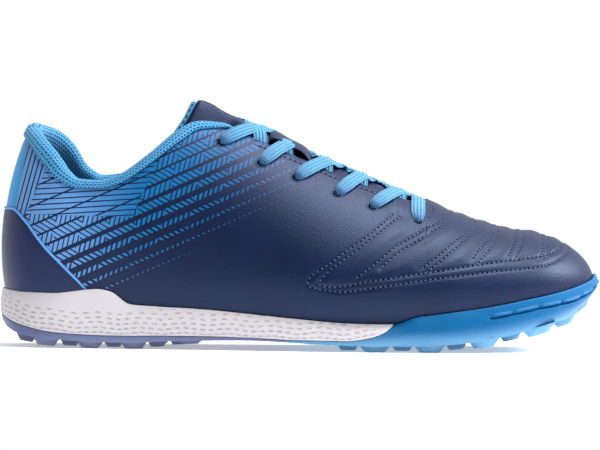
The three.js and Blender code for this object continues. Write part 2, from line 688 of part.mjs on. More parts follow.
// How far below the last's face the tongue lies: beneath the flaps and the collar at its sides,
// and level with the face, or proud of it near the collar, in the lace opening.
function tongueInset(st, r) {
  const collared = smooth((collarEnd + 13 - st.x) / 10);
  const underFlap = upperWall + tongueSlack;
  const underCollar = collarSwell * (collarGap + collarPad) + collarSlack;
  const ahead = station(st.side, st.x + 4);
  const edge = ahead.x < throatEnd ? sectionPoint(ahead, edgeAngle(ahead))[0] : 0;
  const slope = mix(7, 8, collared);
  const open = 1 - smooth((r - edge + slope + mix(1.5, 7, collared)) / slope);
  return mix(mix(underFlap, underCollar, collared), mix(0.8, -tongueProud, collared), open);
}

// The tongue's face as a grid from its toe end to its top edge.
function tongueFace() {
  return Array.from({ length: tongueRows + 1 }, (_, j) => {
    const v = j / tongueRows;
    const half = mix(tongueHalfToe, tongueHalfTop, smooth(v));
    return Array.from({ length: tongueColumns + 1 }, (_, k) => {
      const a = Math.abs((2 * k) / tongueColumns - 1);
      const x = mix(tongueToe, tongueTop - tongueSweep * a ** 1.5, v);
      const st = station(2 * k < tongueColumns ? -1 : 1, x);
      const depth = tongueInset(st, a * half);
      const shrunk = { ...st, reach: st.reach - depth, top: st.top - depth };
      return onLast(shrunk, angleAtReach(shrunk, a * half));
    });
  });
}

// The same grid moved back along its own normals, with its top edge drawn out by overhang.
function tongueLayer(face, depth, overhang) {
  const near = (list, i) => [list[Math.max(i - 1, 0)], list[Math.min(i + 1, list.length - 1)]];
  return face.map((row, j) =>
    row.map((p, k) => {
      const [before, after] = near(face, j).map((other) => other[k]);
      const [left, right] = near(row, k);
      const along = after.clone().sub(before).normalize();
      const normal = right.clone().sub(left).cross(along).normalize();
      const drawn = j === face.length - 1 ? overhang : 0;
      return p.clone().addScaledVector(normal, -depth * Math.sign(normal.z)).addScaledVector(along, drawn);
    }),
  );
}

function tongueShape() {
  const face = tongueFace();
  return sheetGeometry(face, tongueLayer(face, tongueLeather, 0));
}

function tongueLiningShape() {
  const face = tongueFace();
  const front = tongueLeather + 2 * clearance;
  return sheetGeometry(
    tongueLayer(face, front, liningOverhang),
    tongueLayer(face, front + tongueFoam, liningOverhang),
  );
}

// The keeper: a band of the tongue's leather, raised in its middle to let the laces pass under it.
function keeperShape() {
  const rows = 8;
  const columns = 2;
  const layer = (lift) =>
    Array.from({ length: rows + 1 }, (_, j) => {
      const u = (2 * j) / rows - 1;
      const x = keeperMiddle - (u * keeperLength) / 2;
      const arch = keeperRise * (1 - u ** 4);
      return Array.from({ length: columns + 1 }, (_, k) => {
        const a = (2 * k) / columns - 1;
        const st = station(a < 0 ? -1 : 1, x);
        const raised = { ...st, top: st.top + lift + arch, reach: st.reach + lift + arch };
        return onLast(raised, angleAtReach(raised, (Math.abs(a) * keeperWidth) / 2));
      });
    });
  return sheetGeometry(layer(clearance + keeperWall), layer(clearance));
}

// A lace lies along points given as (side, place along the shoe, distance from the ridge).
function laceSolid(points) {
  const lift = 2 * clearance + laceThickness / 2;
  const corners = [[-1, 0], [-0.7, -1], [0.7, -1], [1, 0], [0.7, 1], [-0.7, 1]];
  const centres = points.map(({ side, x, r }) => {
    const st = station(side, x);
    const raised = { ...st, top: st.top + lift, reach: st.reach + lift };
    const angle = angleAtReach(raised, r);
    return { centre: onLast(raised, angle), face: facing(st, Math.min(angle, 1.45)) };
  });
  const sections = centres.map(({ centre, face }, j) => {
    const next = centres[Math.min(j + 1, centres.length - 1)].centre;
    const before = centres[Math.max(j - 1, 0)].centre;
    const along = next.clone().sub(before).normalize();
    const across = face.clone().cross(along).normalize();
    const up = along.clone().cross(across).normalize();
    return corners.map(([a, u]) =>
      centre.clone().addScaledVector(across, (a * laceWidth) / 2).addScaledVector(up, (u * laceThickness) / 2),
    );
  });
  return solidOf(sweepGeometry(sections, () => corners.map(([a, u]) => new THREE.Vector2(a, u))));
}

const eyeletReach = (side, { at, high }) => {
  const st = station(side, place(at));
  return sectionPoint(st, angleAtHeight(st, high * instepHeight))[0];
};

// A lace from one eyelet to the edge of the other flap. It runs along its own flap first.
function laceRun(side, eyelet, next) {
  const from = place(eyelet.at);
  const pitch = (next.at - eyelet.at) * soleLength * eyelet.cross;
  const reach = eyeletReach(side, eyelet);
  const goal = 1 + (throatHalf(-side, from + pitch) - laceWidth / 2) / reach;
  const steps = 8;
  return Array.from({ length: steps + 1 }, (_, i) => {
    const q = 1 - (goal * i) / steps;
    const x = from + pitch * (1 - q) * (1 + 0.25 * q);
    return { side: q >= 0 ? side : -side, x, r: Math.abs(q) * reach };
  });
}

// The bar across the toe end of the lace opening, from eyelet to eyelet.
function laceBar(eyelet) {
  const steps = 10;
  return Array.from({ length: steps + 1 }, (_, i) => {
    const q = (2 * i) / steps - 1;
    const side = q < 0 ? -1 : 1;
    return { side, x: place(eyelet.at), r: Math.abs(q) * eyeletReach(side, eyelet) };
  });
}

function laceShapes() {
  const shapes = { "lace-bar": geometryOf(laceSolid(laceBar(eyeletTable[0]))) };
  for (let i = 1; i < eyeletTable.length; i++) {
    const [outer, inner] = [-1, 1].map((side) => laceSolid(laceRun(side, eyeletTable[i], eyeletTable[i - 1])));
    shapes[`lace-crossing-${i}`] = geometryOf(outer.add(inner));
  }
  return shapes;
}

// Finishes
const finishes = {
  navyLeather: new THREE.MeshStandardMaterial({ color: 0x2b3157, roughness: 0.5, metalness: 0 }),
  navyOverlay: new THREE.MeshStandardMaterial({ color: 0x333a66, roughness: 0.5, metalness: 0 }),
  blueMesh: new THREE.MeshStandardMaterial({ color: 0x3f9bd6, roughness: 0.9, metalness: 0 }),
  blueLace: new THREE.MeshStandardMaterial({ color: 0x45aee6, roughness: 0.85, metalness: 0 }),
  whiteFoam: new THREE.MeshStandardMaterial({ color: 0xe9e6ec, roughness: 0.7, metalness: 0 }),
  blueRubber: new THREE.MeshStandardMaterial({ color: 0x1c85cf, roughness: 0.45, metalness: 0 }),
  slateRubber: new THREE.MeshStandardMaterial({ color: 0x6a6f94, roughness: 0.5, metalness: 0 }),
  insoleCloth: new THREE.MeshStandardMaterial({ color: 0x2c6fae, roughness: 0.95, metalness: 0 }),
};

const shoe = new THREE.Group();

function add(name, geometry, material) {
  const mesh = new THREE.Mesh(geometry, material);
  mesh.name = name;
  mesh.geometry.computeVertexNormals();
  shoe.add(mesh);
}

const sole = soleShapes();
add("upper", upperShape(), finishes.navyLeather);
add("heel-counter", counterShape(), finishes.navyOverlay);
add("collar", collarShape(), finishes.blueMesh);
add("tongue", tongueShape(), finishes.navyLeather);
add("tongue-lining", tongueLiningShape(), finishes.blueMesh);
add("tongue-keeper", keeperShape(), finishes.navyLeather);
add("insole", insoleShape(), finishes.insoleCloth);
add("midsole", sole.midsole, finishes.whiteFoam);
add("outsole-heel", sole.outsoleHeel, finishes.slateRubber);
add("outsole-forefoot", sole.outsoleForefoot, finishes.blueRubber);
for (const [name, geometry] of Object.entries(laceShapes())) add(name, geometry, finishes.blueLace);

export default shoe;
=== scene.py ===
"""A right turf shoe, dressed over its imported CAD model.

Lengths in the code are millimetres, +X heel to toe, +Y inner side, +Z up, as in the model.
Meshes are stored in metres.
"""

from types import SimpleNamespace

import bmesh
import bpy
import numpy as np
from bpy.props import FloatProperty, FloatVectorProperty, PointerProperty
from mathutils import Matrix, Vector
from mathutils.bvhtree import BVHTree


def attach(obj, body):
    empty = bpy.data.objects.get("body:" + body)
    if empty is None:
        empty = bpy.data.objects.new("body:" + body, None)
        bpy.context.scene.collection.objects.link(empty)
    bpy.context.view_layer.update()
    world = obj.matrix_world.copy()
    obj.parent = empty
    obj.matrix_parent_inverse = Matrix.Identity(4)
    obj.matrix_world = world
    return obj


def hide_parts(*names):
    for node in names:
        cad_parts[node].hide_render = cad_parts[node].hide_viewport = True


bl_info = {
    "name": "Turf Shoe",
    "version": (1, 0, 0),
    "blender": (4, 5, 0),
    "location": "View3D > Sidebar > Turf Shoe",
    "description": "Builds the pieces of a laced turf shoe and a stage for it",
    "category": "Add Mesh",
}

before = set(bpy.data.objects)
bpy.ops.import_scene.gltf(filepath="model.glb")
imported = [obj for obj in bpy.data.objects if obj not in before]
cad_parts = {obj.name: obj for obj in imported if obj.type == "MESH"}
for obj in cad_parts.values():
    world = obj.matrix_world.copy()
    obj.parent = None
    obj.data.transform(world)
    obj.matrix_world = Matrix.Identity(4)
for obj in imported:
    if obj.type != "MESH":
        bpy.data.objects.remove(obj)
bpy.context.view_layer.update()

# Driving sizes of the shoe, the same as the model's
SOLE_LENGTH = 290.0
BALL_WIDTH = 100.0
INSTEP_HEIGHT = 119.0
HEEL_HEIGHT = 102.0
SOLE_HEIGHT = 28.0
TOE_SPRING = 18.0
BALL_SHARE = 0.7
SPRING_CURVE = 1.75
UPPER_WALL = 2.0
CLEARANCE = 0.3
COUNTER_WALL = 0.8
HEEL_INSET = COUNTER_WALL + CLEARANCE + 0.1
TOE_BUMPER = 2.2
SIDE_FLARE = 2.0
LIP_WALL = 1.4
HEEL_ROUND = 34.0
TOE_ROUND = 54.0
HEEL_AXIS_INSET = 34.0
TOE_AXIS_INSET = 40.0
THROAT_END = 61.0
THROAT_TOP = -33.0
THROAT_HALF_TOP = 12.5
THROAT_HALF_TOE = 13.0
THROAT_LEAN = 2.5
EYELET_RADIUS = 2.1
COLLAR_ROLL = 4.9
COLLAR_ROLL_HEEL = 3.4
COLLAR_GAP = UPPER_WALL + 3 * CLEARANCE
COLLAR_PAD = 3.6
COLLAR_SWELL = 1.08
LINING_WALL = 1.6
COLLAR_END = -38.0
COLLAR_DEPTH = 0.42
TONGUE_LEATHER = 2.3
TONGUE_FOAM = 2.3
TONGUE_SLACK = 1.2
COLLAR_SLACK = 2.5
TONGUE_TOP = -48.0
TONGUE_TOE = 72.0
TONGUE_SWEEP = 26.0
TONGUE_PROUD = 2.2
TONGUE_HALF_TOP = 22.5
TONGUE_HALF_TOE = 17.0
LINING_OVERHANG = 2.0
KEEPER_LENGTH = 19.0
KEEPER_WIDTH = 22.0
KEEPER_WALL = 1.1
KEEPER_MIDDLE = -5.5
LACE_WIDTH = 7.0
LACE_THICKNESS = 1.2
INSOLE_THICKNESS = 4.0
LUG_HEIGHT = 3.3
LUG_TAPER = 0.62
LUG_ROOT = 0.9
GROOVE_DEPTH = 1.1
OUTSOLE_JOINT = -6.0
LOWER_ROUND = 2.4
LOWER_DEPTH = 1.65

# Sizes that only the dressed shoe has
SOLE_GAP = 0.12
SEAM_DEPTH = 0.45
SEAM_HALF = 0.65
SWELL_HEIGHT = 0.75
SWELL_REACH = 4.5
LINING_GAP = 0.3
KEEPER_LIFT = 2.1
KEEPER_ARCH = 1.5
PIPING_RADIUS = 0.62
STITCH_PITCH = 2.45
STITCH_SIZE = (1.4, 0.7, 0.6)
NEEDLE_SHIFT = 1.22
NEEDLE_SIZE = (1.15, 1.0, 0.4)
THROAT_ROW = 3.4
THROAT_PITCH = 2.6
GRAIN_DEPTH = 0.125
FLOOR_RADIUS = 0.75

UPPER_BACK = -SOLE_LENGTH / 2 + HEEL_INSET
UPPER_FRONT = SOLE_LENGTH / 2 - TOE_BUMPER
HEEL_AXIS = UPPER_BACK + HEEL_AXIS_INSET
TOE_AXIS = UPPER_FRONT - TOE_AXIS_INSET


def table(names, *rows):
    """A small table with named columns, as arrays."""
    return dict(zip(names.split(), np.array(rows, float).T))


# Shares of the length, ball width, instep height and so on, as in the model
LAST = table(
    "at middle ridge outer inner bulge top round",
    (0.0, 0.0, 0.0, 0.33, 0.325, 0.42, 1.084, 1.75),
    (0.08, 0.0, 0.0, 0.335, 0.33, 0.41, 1.084, 1.75),
    (0.16, 0.0, 0.0, 0.34, 0.33, 0.39, 1.08, 1.75),
    (0.26, 0.0, 0.0, 0.358, 0.33, 0.353, 1.052, 1.8),
    (0.34, 0.0, 0.0, 0.383, 0.343, 0.324, 0.992, 1.77),
    (0.42, 0.0, 0.005, 0.418, 0.365, 0.298, 0.91, 1.68),
    (0.5, 0.0, 0.01, 0.455, 0.397, 0.277, 0.829, 1.57),
    (0.58, 0.0, 0.018, 0.483, 0.437, 0.26, 0.746, 1.5),
    (0.66, 0.003, 0.027, 0.497, 0.472, 0.251, 0.663, 1.52),
    (0.74, 0.015, 0.038, 0.496, 0.48, 0.244, 0.574, 1.75),
    (0.82, 0.035, 0.05, 0.468, 0.458, 0.222, 0.484, 1.9),
    (0.9, 0.058, 0.062, 0.432, 0.428, 0.192, 0.4, 1.93),
    (1.0, 0.08, 0.07, 0.4, 0.4, 0.139, 0.33, 1.85),
)
COLLAR = table(
    "at outer inner",
    (0.0, 1.12, 1.12),
    (0.037, 0.995, 1.01),
    (0.066, 0.885, 0.969),
    (0.098, 0.789, 0.909),
    (0.132, 0.751, 0.812),
    (0.166, 0.752, 0.766),
    (0.199, 0.776, 0.776),
    (0.249, 0.869, 0.869),
    (0.299, 0.979, 0.979),
    (0.333, 1.037, 1.037),
    (0.366, 1.046, 1.046),
    (0.385, 1.055, 1.055),
    (0.42, 1.15, 1.15),
)
SOLE = table(
    "at under split lip floor",
    (0.0, 0.44, 0.545, 0.993, 0.63),
    (0.015, 0.315, 0.47, 0.965, 0.6),
    (0.04, 0.206, 0.375, 0.939, 0.57),
    (0.09, 0.15, 0.275, 0.93, 0.55),
    (0.165, 0.115, 0.23, 1.008, 0.535),
    (0.187, 0.109, 0.226, 0.965, 0.53),
    (0.22, 0.107, 0.226, 0.748, 0.52),
    (0.26, 0.128, 0.232, 0.72, 0.49),
    (0.34, 0.158, 0.236, 0.68, 0.43),
    (0.42, 0.172, 0.222, 0.61, 0.38),
    (0.5, 0.14, 0.192, 0.535, 0.335),
    (0.58, 0.112, 0.19, 0.475, 0.305),
    (0.612, 0.107, 0.235, 0.468, 0.3),
    (0.64, 0.107, 0.33, 0.465, 0.3),
    (0.657, 0.107, 0.48, 0.47, 0.302),
    (0.7, 0.107, 1.0, 0.607, 0.31),
    (0.78, 0.107, 1.5, 0.655, 0.33),
    (0.86, 0.107, 2.0, 0.65, 0.35),
    (0.95, 0.12, 2.0, 0.615, 0.36),
    (0.985, 0.23, 2.0, 0.64, 0.37),
    (1.0, 0.36, 2.0, 0.76, 0.4),
)
EYELETS = table(
    "at high",
    (0.6955, 0.524),
    (0.62, 0.582),
    (0.5617, 0.634),
    (0.4934, 0.697),
    (0.4348, 0.754),
    (0.3679, 0.837),
)

# Outsole, place across, first and last place along, count, length, width, share of the height
LUGS = (
    ("heel", -0.8, 0.08, 0.226, 3, 11.6, 10, 1),
    ("heel", -0.76, 0.321, 0.321, 1, 10.5, 8, 0.5),
    ("heel", 0.8, 0.045, 0.264, 4, 11.6, 10, 1),
    ("heel", -0.27, 0.045, 0.264, 4, 9, 9, 1),
    ("heel", 0.27, 0.08, 0.299, 4, 9, 9, 1),
    ("forefoot", -0.83, 0.626, 0.898, 4, 13.4, 11, 1),
    ("forefoot", 0.83, 0.582, 0.943, 5, 13, 11, 1),
    ("forefoot", -0.42, 0.582, 0.943, 5, 10, 10, 1),
    ("forefoot", 0.0, 0.626, 0.898, 4, 10, 10, 1),
    ("forefoot", 0.42, 0.626, 0.898, 4, 10, 10, 1),
)

# Seam lines, seen from the side: (x, z)
VAMP_SEAMS = (
    ((8.7, 30.2), (4.5, 31.5), (4.4, 34.3), (7.3, 37.5), (14.6, 42.4), (24.3, 49.7), (33.9, 56.5),
     (44.6, 65.8)),
    ((9.4, 33.4), (15.0, 39.6), (24.3, 46.5), (34.9, 54.8), (43.9, 61.8), (48.2, 64.8)),
    ((8.7, 32.7), (14.6, 31.1), (24.3, 32.1), (33.9, 34.1), (43.7, 35.6), (53.4, 37.2), (63.1, 38.7),
     (72.8, 40.2), (82.4, 41.8), (97.0, 43.9), (106.7, 45.0), (116.4, 46.5), (121.2, 47.6), (125.1, 49.6),
     (127.5, 52.4)),
    ((8.7, 30.2), (19.4, 28.9), (29.1, 29.9), (38.8, 31.4), (48.5, 32.9), (58.2, 34.5), (67.9, 36.0),
     (77.6, 37.1), (87.3, 38.4), (97.0, 39.5), (106.7, 40.3), (116.4, 41.6), (121.2, 43.1), (126.1, 45.5),
     (130.5, 49.5)),
    ((26.7, 35.2), (31.5, 38.7), (36.4, 42.6), (41.2, 46.5), (46.1, 50.5), (50.9, 53.4), (55.8, 56.4),
     (60.6, 59.4), (65.5, 61.4), (69.4, 63.8), (71.8, 66.8), (72.6, 70.0)),
    ((38.8, 40.6), (43.7, 44.6), (48.5, 48.5), (53.4, 51.5), (58.2, 54.4), (63.1, 57.9), (67.9, 60.4),
     (72.3, 63.8), (74.7, 66.3), (75.9, 69.5)),
    ((58.2, 39.8), (63.1, 43.7), (67.9, 47.6), (72.8, 52.0), (77.6, 55.5), (80.5, 58.9), (82.5, 62.8),
     (83.2, 65.5)),
    ((60.6, 37.9), (65.5, 42.3), (70.3, 46.2), (75.2, 50.5), (80.0, 54.9), (83.4, 59.0), (85.0, 62.5),
     (85.8, 65.0)),
    ((82.5, 43.9), (85.4, 48.3), (88.8, 52.7), (92.2, 56.2), (93.2, 59.5), (93.6, 62.5)),
    ((84.9, 42.0), (88.3, 46.4), (91.7, 50.3), (94.6, 54.3), (95.9, 58.3), (96.4, 62.0)),
    ((99.4, 45.5), (101.9, 49.4), (103.3, 53.3), (103.8, 56.4), (104.1, 60.0)),
    ((103.3, 45.0), (105.7, 49.8), (107.2, 53.8), (107.5, 56.0), (107.8, 59.5)),
    ((114.9, 44.7), (116.9, 48.1), (117.4, 51.5), (117.4, 54.4), (117.4, 57.5)),
    ((118.3, 45.7), (119.8, 48.6), (120.0, 51.5), (120.0, 54.5), (120.0, 57.5)),
)
PATCH_SEAM = ((64.0, 70.2), (64.5, 67.4), (62.2, 64.6))


def smooth(t):
    """Cubic step from 0 to 1."""
    c = np.clip(t, 0, 1)
    return c * c * (3 - 2 * c)


def mix(a, b, t):
    return a + (b - a) * t


def bell(x, half):
    return np.exp(-((x / half) ** 2))


def column(columns, name, at):
    """Cubic Hermite curve through a column, with harmonic mean slopes that are 0 at turns and ends."""
    x, y = columns["at"], columns[name]
    rate = np.diff(y) / np.diff(x)
    before, after = rate[:-1], rate[1:]
    slope = np.zeros_like(y)
    same = before * after > 0
    slope[1:-1][same] = 2 * before[same] * after[same] / (before[same] + after[same])
    at = np.clip(at, x[0], x[-1])
    i = np.clip(np.searchsorted(x, at, side="right") - 1, 0, len(x) - 2)
    width = x[i + 1] - x[i]
    t = (at - x[i]) / width
    rise = 3 * t**2 - 2 * t**3
    bow = width * (slope[i] * (t - 2 * t**2 + t**3) + slope[i + 1] * (t**3 - t**2))
    return y[i] * (1 - rise) + y[i + 1] * rise + bow


def share(x):
    return (x + SOLE_LENGTH / 2) / SOLE_LENGTH


def place(at):
    return at * SOLE_LENGTH - SOLE_LENGTH / 2


def spring(x):
    """The toe's rise: a power of the distance past the ball."""
    return TOE_SPRING * np.maximum(0, (share(x) - BALL_SHARE) / (1 - BALL_SHARE)) ** SPRING_CURVE


def level(name, x):
    return SOLE_HEIGHT * column(SOLE, name, share(x)) + spring(x)


def width(name, x):
    return BALL_WIDTH * column(LAST, name, share(x))


def outline(side, x):
    """The upper from above: half widths from a table, closed by a superellipse at heel and toe."""
    heel = np.clip((UPPER_BACK + HEEL_ROUND - x) / HEEL_ROUND, 0, 1)
    toe = np.clip((x - UPPER_FRONT + TOE_ROUND) / TOE_ROUND, 0, 1)
    ends = (1 - heel**2.2) ** (1 / 2.2) * (1 - toe**2.3) ** (1 / 2.3)
    half = np.where(side < 0, width("outer", x), width("inner", x)) * ends
    return width("middle", x) + side * half


def station(side, x):
    """Upright half-sections that start on the ridge and fan round the heel and toe."""
    side, x = np.broadcast_arrays(np.asarray(side, float), np.asarray(x, float))
    ridge_x = np.clip(x, HEEL_AXIS, TOE_AXIS)
    ridge_y = width("ridge", ridge_x)
    out_x, out_y = x - ridge_x, outline(side, x) - ridge_y
    reach = np.hypot(out_x, out_y)
    return SimpleNamespace(
        side=side, x=x, ridge_x=ridge_x, ridge_y=ridge_y,
        out_x=out_x / reach, out_y=out_y / reach, reach=reach,
        top=INSTEP_HEIGHT * column(LAST, "top", share(ridge_x)) + spring(ridge_x),
        bulge=INSTEP_HEIGHT * column(LAST, "bulge", share(x)) + spring(x),
        round=column(LAST, "round", share(x)), floor=level("floor", x), lip=level("lip", x),
    )


def grown(st, by):
    """The same sections with their reach and top moved out."""
    return SimpleNamespace(**{**vars(st), "reach": st.reach + by, "top": st.top + by})


def section_point(st, angle, inset=0.0):
    """Superellipse quarter above the widest line and another below it: distance and height."""
    up = angle >= 0
    power = np.where(up, 2 / st.round, 2 / LOWER_ROUND)
    high = np.where(up, st.top - inset - st.bulge, -LOWER_DEPTH * (st.bulge - st.floor))
    r = (st.reach - inset) * np.maximum(np.cos(angle), 0) ** power
    return r, st.bulge + high * np.abs(np.sin(angle)) ** power


def angle_at_height(st, z):
    up = np.arcsin(np.clip((z - st.bulge) / (st.top - st.bulge), 0, 1) ** (st.round / 2))
    deep = LOWER_DEPTH * (st.bulge - st.floor)
    down = -np.arcsin(np.clip((st.bulge - z) / deep, 0, 1) ** (LOWER_ROUND / 2))
    return np.where(z >= st.bulge, up, down)


def angle_at_reach(st, r):
    return np.arccos(np.clip(r / st.reach, 0, 1) ** (st.round / 2))


def in_space(st, r, z):
    return np.stack(np.broadcast_arrays(st.ridge_x + st.out_x * r, st.ridge_y + st.out_y * r, z), -1)


def on_last(st, angle, inset=0.0):
    return in_space(st, *section_point(st, angle, inset))


def throat_half(side, x):
    """Half width of the lace opening: a taper closed by a half circle."""
    along = np.clip((x - THROAT_TOP) / (THROAT_END - THROAT_TOP), 0, 1)
    half = mix(THROAT_HALF_TOP, THROAT_HALF_TOE, along)
    into = np.clip((x - THROAT_END + THROAT_HALF_TOE) / THROAT_HALF_TOE, 0, 1)
    return (half - side * THROAT_LEAN * along) * np.sqrt(1 - into**2)


def edge_angle(st):
    """Where the upper ends: the smaller of the collar's angle, found by bisection, and the throat's."""
    low, high = angle_at_height(st, st.lip), np.full(st.x.shape, np.pi / 2)
    for _ in range(40):
        middle = (low + high) / 2
        p = on_last(st, middle)
        at = share(p[..., 0])
        seam = HEEL_HEIGHT * np.where(st.side < 0, column(COLLAR, "outer", at), column(COLLAR, "inner", at))
        under = p[..., 2] < seam
        low, high = np.where(under, middle, low), np.where(under, high, middle)
    throat = angle_at_reach(st, throat_half(st.side, st.x))
    sharp = 22.0
    both = -np.log(np.exp(-sharp * low) + np.exp(-sharp * throat)) / sharp
    both = np.where(low > 1.569, throat, both)
    return np.where(st.x >= THROAT_END, np.pi / 2, both)


def unit(v):
    return v / np.maximum(np.linalg.norm(v, axis=-1, keepdims=True), 1e-12)


def outward(st, angle):
    """Normal of the last within the plane of its section."""
    r0, z0 = section_point(st, angle - 0.02)
    r1, z1 = section_point(st, np.minimum(angle + 0.02, np.pi / 2))
    n = np.stack([st.out_x * (z1 - z0), st.out_y * (z1 - z0), r0 - r1], -1)
    return unit(n)


def facing(st, angle):
    """The same normal, square to the last's length too."""
    out = outward(st, angle)
    along = unit(on_last(station(st.side, st.x + 1), angle) - on_last(station(st.side, st.x - 1), angle))
    return unit(out - along * (out * along).sum(-1, keepdims=True))


def places(step):
    """Places from heel to toe whose spacing along the outline is step(x)."""
    t = np.linspace(0, np.pi, 4001)
    x = (UPPER_BACK + UPPER_FRONT) / 2 - (UPPER_FRONT - UPPER_BACK) / 2 * np.cos(t)
    dy = np.diff(outline(-1.0, x))
    run = np.hypot(np.diff(x), dy) / step((x[1:] + x[:-1]) / 2)
    total = np.concatenate([[0], np.cumsum(run)])
    count = int(np.ceil(total[-1]))
    return np.interp(np.linspace(0, total[-1], count + 1), total, x)


def ring(xs):
    """Stations round the whole shoe, shaped (columns, 1): outer side to the toe, inner side back."""
    back = xs[1:-1][::-1]
    side = np.concatenate([-np.ones(len(xs)), np.ones(len(back))])
    return station(side[:, None], np.concatenate([xs, back])[:, None])


def spline(points, count, closed=False):
    """Catmull-Rom curve through the points along axis -2."""
    n = points.shape[-2]
    t = np.linspace(0, n if closed else n - 1, count, endpoint=not closed)
    i = np.minimum(t.astype(int), n - 1 if closed else n - 2)
    f = (t - i)[:, None]
    take = (lambda k: k % n) if closed else (lambda k: np.clip(k, 0, n - 1))
    a, b, c, d = (points[..., take(i + k), :] for k in (-1, 0, 1, 2))
    return 0.5 * (2 * b + (c - a) * f + (2 * a - 5 * b + 4 * c - d) * f**2 + (3 * b - a - 3 * c + d) * f**3)


def grid_faces(rows, columns, wrap_rows=False, wrap_columns=False, keep=None):
    """Quads of a grid of rows x columns points, numbered row by row."""
    j = np.arange(rows if wrap_rows else rows - 1)
    k = np.arange(columns if wrap_columns else columns - 1)
    jj, kk = np.meshgrid(j, k, indexing="ij")
    if keep is not None:
        jj, kk = jj[keep], kk[keep]
    jn, kn = (jj + 1) % rows, (kk + 1) % columns
    quads = np.stack([jj * columns + kk, jn * columns + kk, jn * columns + kn, jj * columns + kn], -1)
    return quads.reshape(-1, 4)


def cap_faces(loop):
    """A fan that closes a convex loop of point numbers."""
    return np.array([[loop[0], loop[k], loop[k + 1]] for k in range(1, len(loop) - 1)])


def clean(mesh, distance=2e-6):
    """Merges doubles and turns faces outwards."""
    b = bmesh.new()
    b.from_mesh(mesh)
    bmesh.ops.remove_doubles(b, verts=b.verts, dist=distance)
    bmesh.ops.dissolve_degenerate(b, edges=b.edges, dist=1e-7)
    bmesh.ops.recalc_face_normals(b, faces=b.faces)
    b.to_mesh(mesh)
    b.free()


def face_out(mesh):
    """Turns a mesh's faces outwards and shades it smooth."""
    b = bmesh.new()
    b.from_mesh(mesh)
    bmesh.ops.recalc_face_normals(b, faces=b.faces)
    b.to_mesh(mesh)
    b.free()
    mesh.shade_smooth()


def piece(name, points, faces, finishes, uv=None, kinds=None, merge=True, sharp=None):
    """An object from arrays of points in mm, faces, and optional UVs in mm for each point."""
    mesh = bpy.data.meshes.new(name)
    faces = [f.tolist() for f in faces] if isinstance(faces, list) else faces.tolist()
    mesh.from_pydata((np.asarray(points).reshape(-1, 3) / 1000).tolist(), [], faces)
    if uv is not None:
        corner = np.zeros(len(mesh.loops), int)
        mesh.loops.foreach_get("vertex_index", corner)
        layer = mesh.uv_layers.new(name="pattern")
        layer.data.foreach_set("uv", np.asarray(uv, np.float32).reshape(-1, 2)[corner].ravel())
    if kinds is not None:
        mesh.polygons.foreach_set("material_index", np.asarray(kinds, np.int32))
    for finish in finishes:
        mesh.materials.append(finish)
    if merge:
        clean(mesh)
    mesh.shade_smooth()
    if sharp is not None:
        mesh.set_sharp_from_angle(angle=sharp)
    mesh.update()
    obj = bpy.data.objects.new(name, mesh)
    bpy.context.scene.collection.objects.link(obj)
    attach(obj, "root")
    return obj


# Materials


class Term:
    """A value in a material's node tree that can be used in sums and products."""

    def __init__(self, tree, socket):
        self.tree, self.socket = tree, socket

    def op(self, name, *others):
        node = self.tree.nodes.new("ShaderNodeMath")
        node.operation = name
        for slot, value in zip(node.inputs, (self, *others)):
            if isinstance(value, Term):
                self.tree.links.new(value.socket, slot)
            else:
                slot.default_value = value
        return Term(self.tree, node.outputs[0])

    def __add__(self, other):
        return self.op("ADD", other)

    def __sub__(self, other):
        return self.op("SUBTRACT", other)

    def __mul__(self, other):
        return self.op("MULTIPLY", other)

    def __truediv__(self, other):
        return self.op("DIVIDE", other)

    def __neg__(self):
        return self.op("MULTIPLY", -1.0)

    def step(self, low, high):
        """Smooth step from 0 at low to 1 at high."""
        node = self.tree.nodes.new("ShaderNodeMapRange")
        node.interpolation_type = "SMOOTHSTEP"
        self.tree.links.new(self.socket, node.inputs[0])
        node.inputs[1].default_value = low
        node.inputs[2].default_value = high
        return Term(self.tree, node.outputs[0])


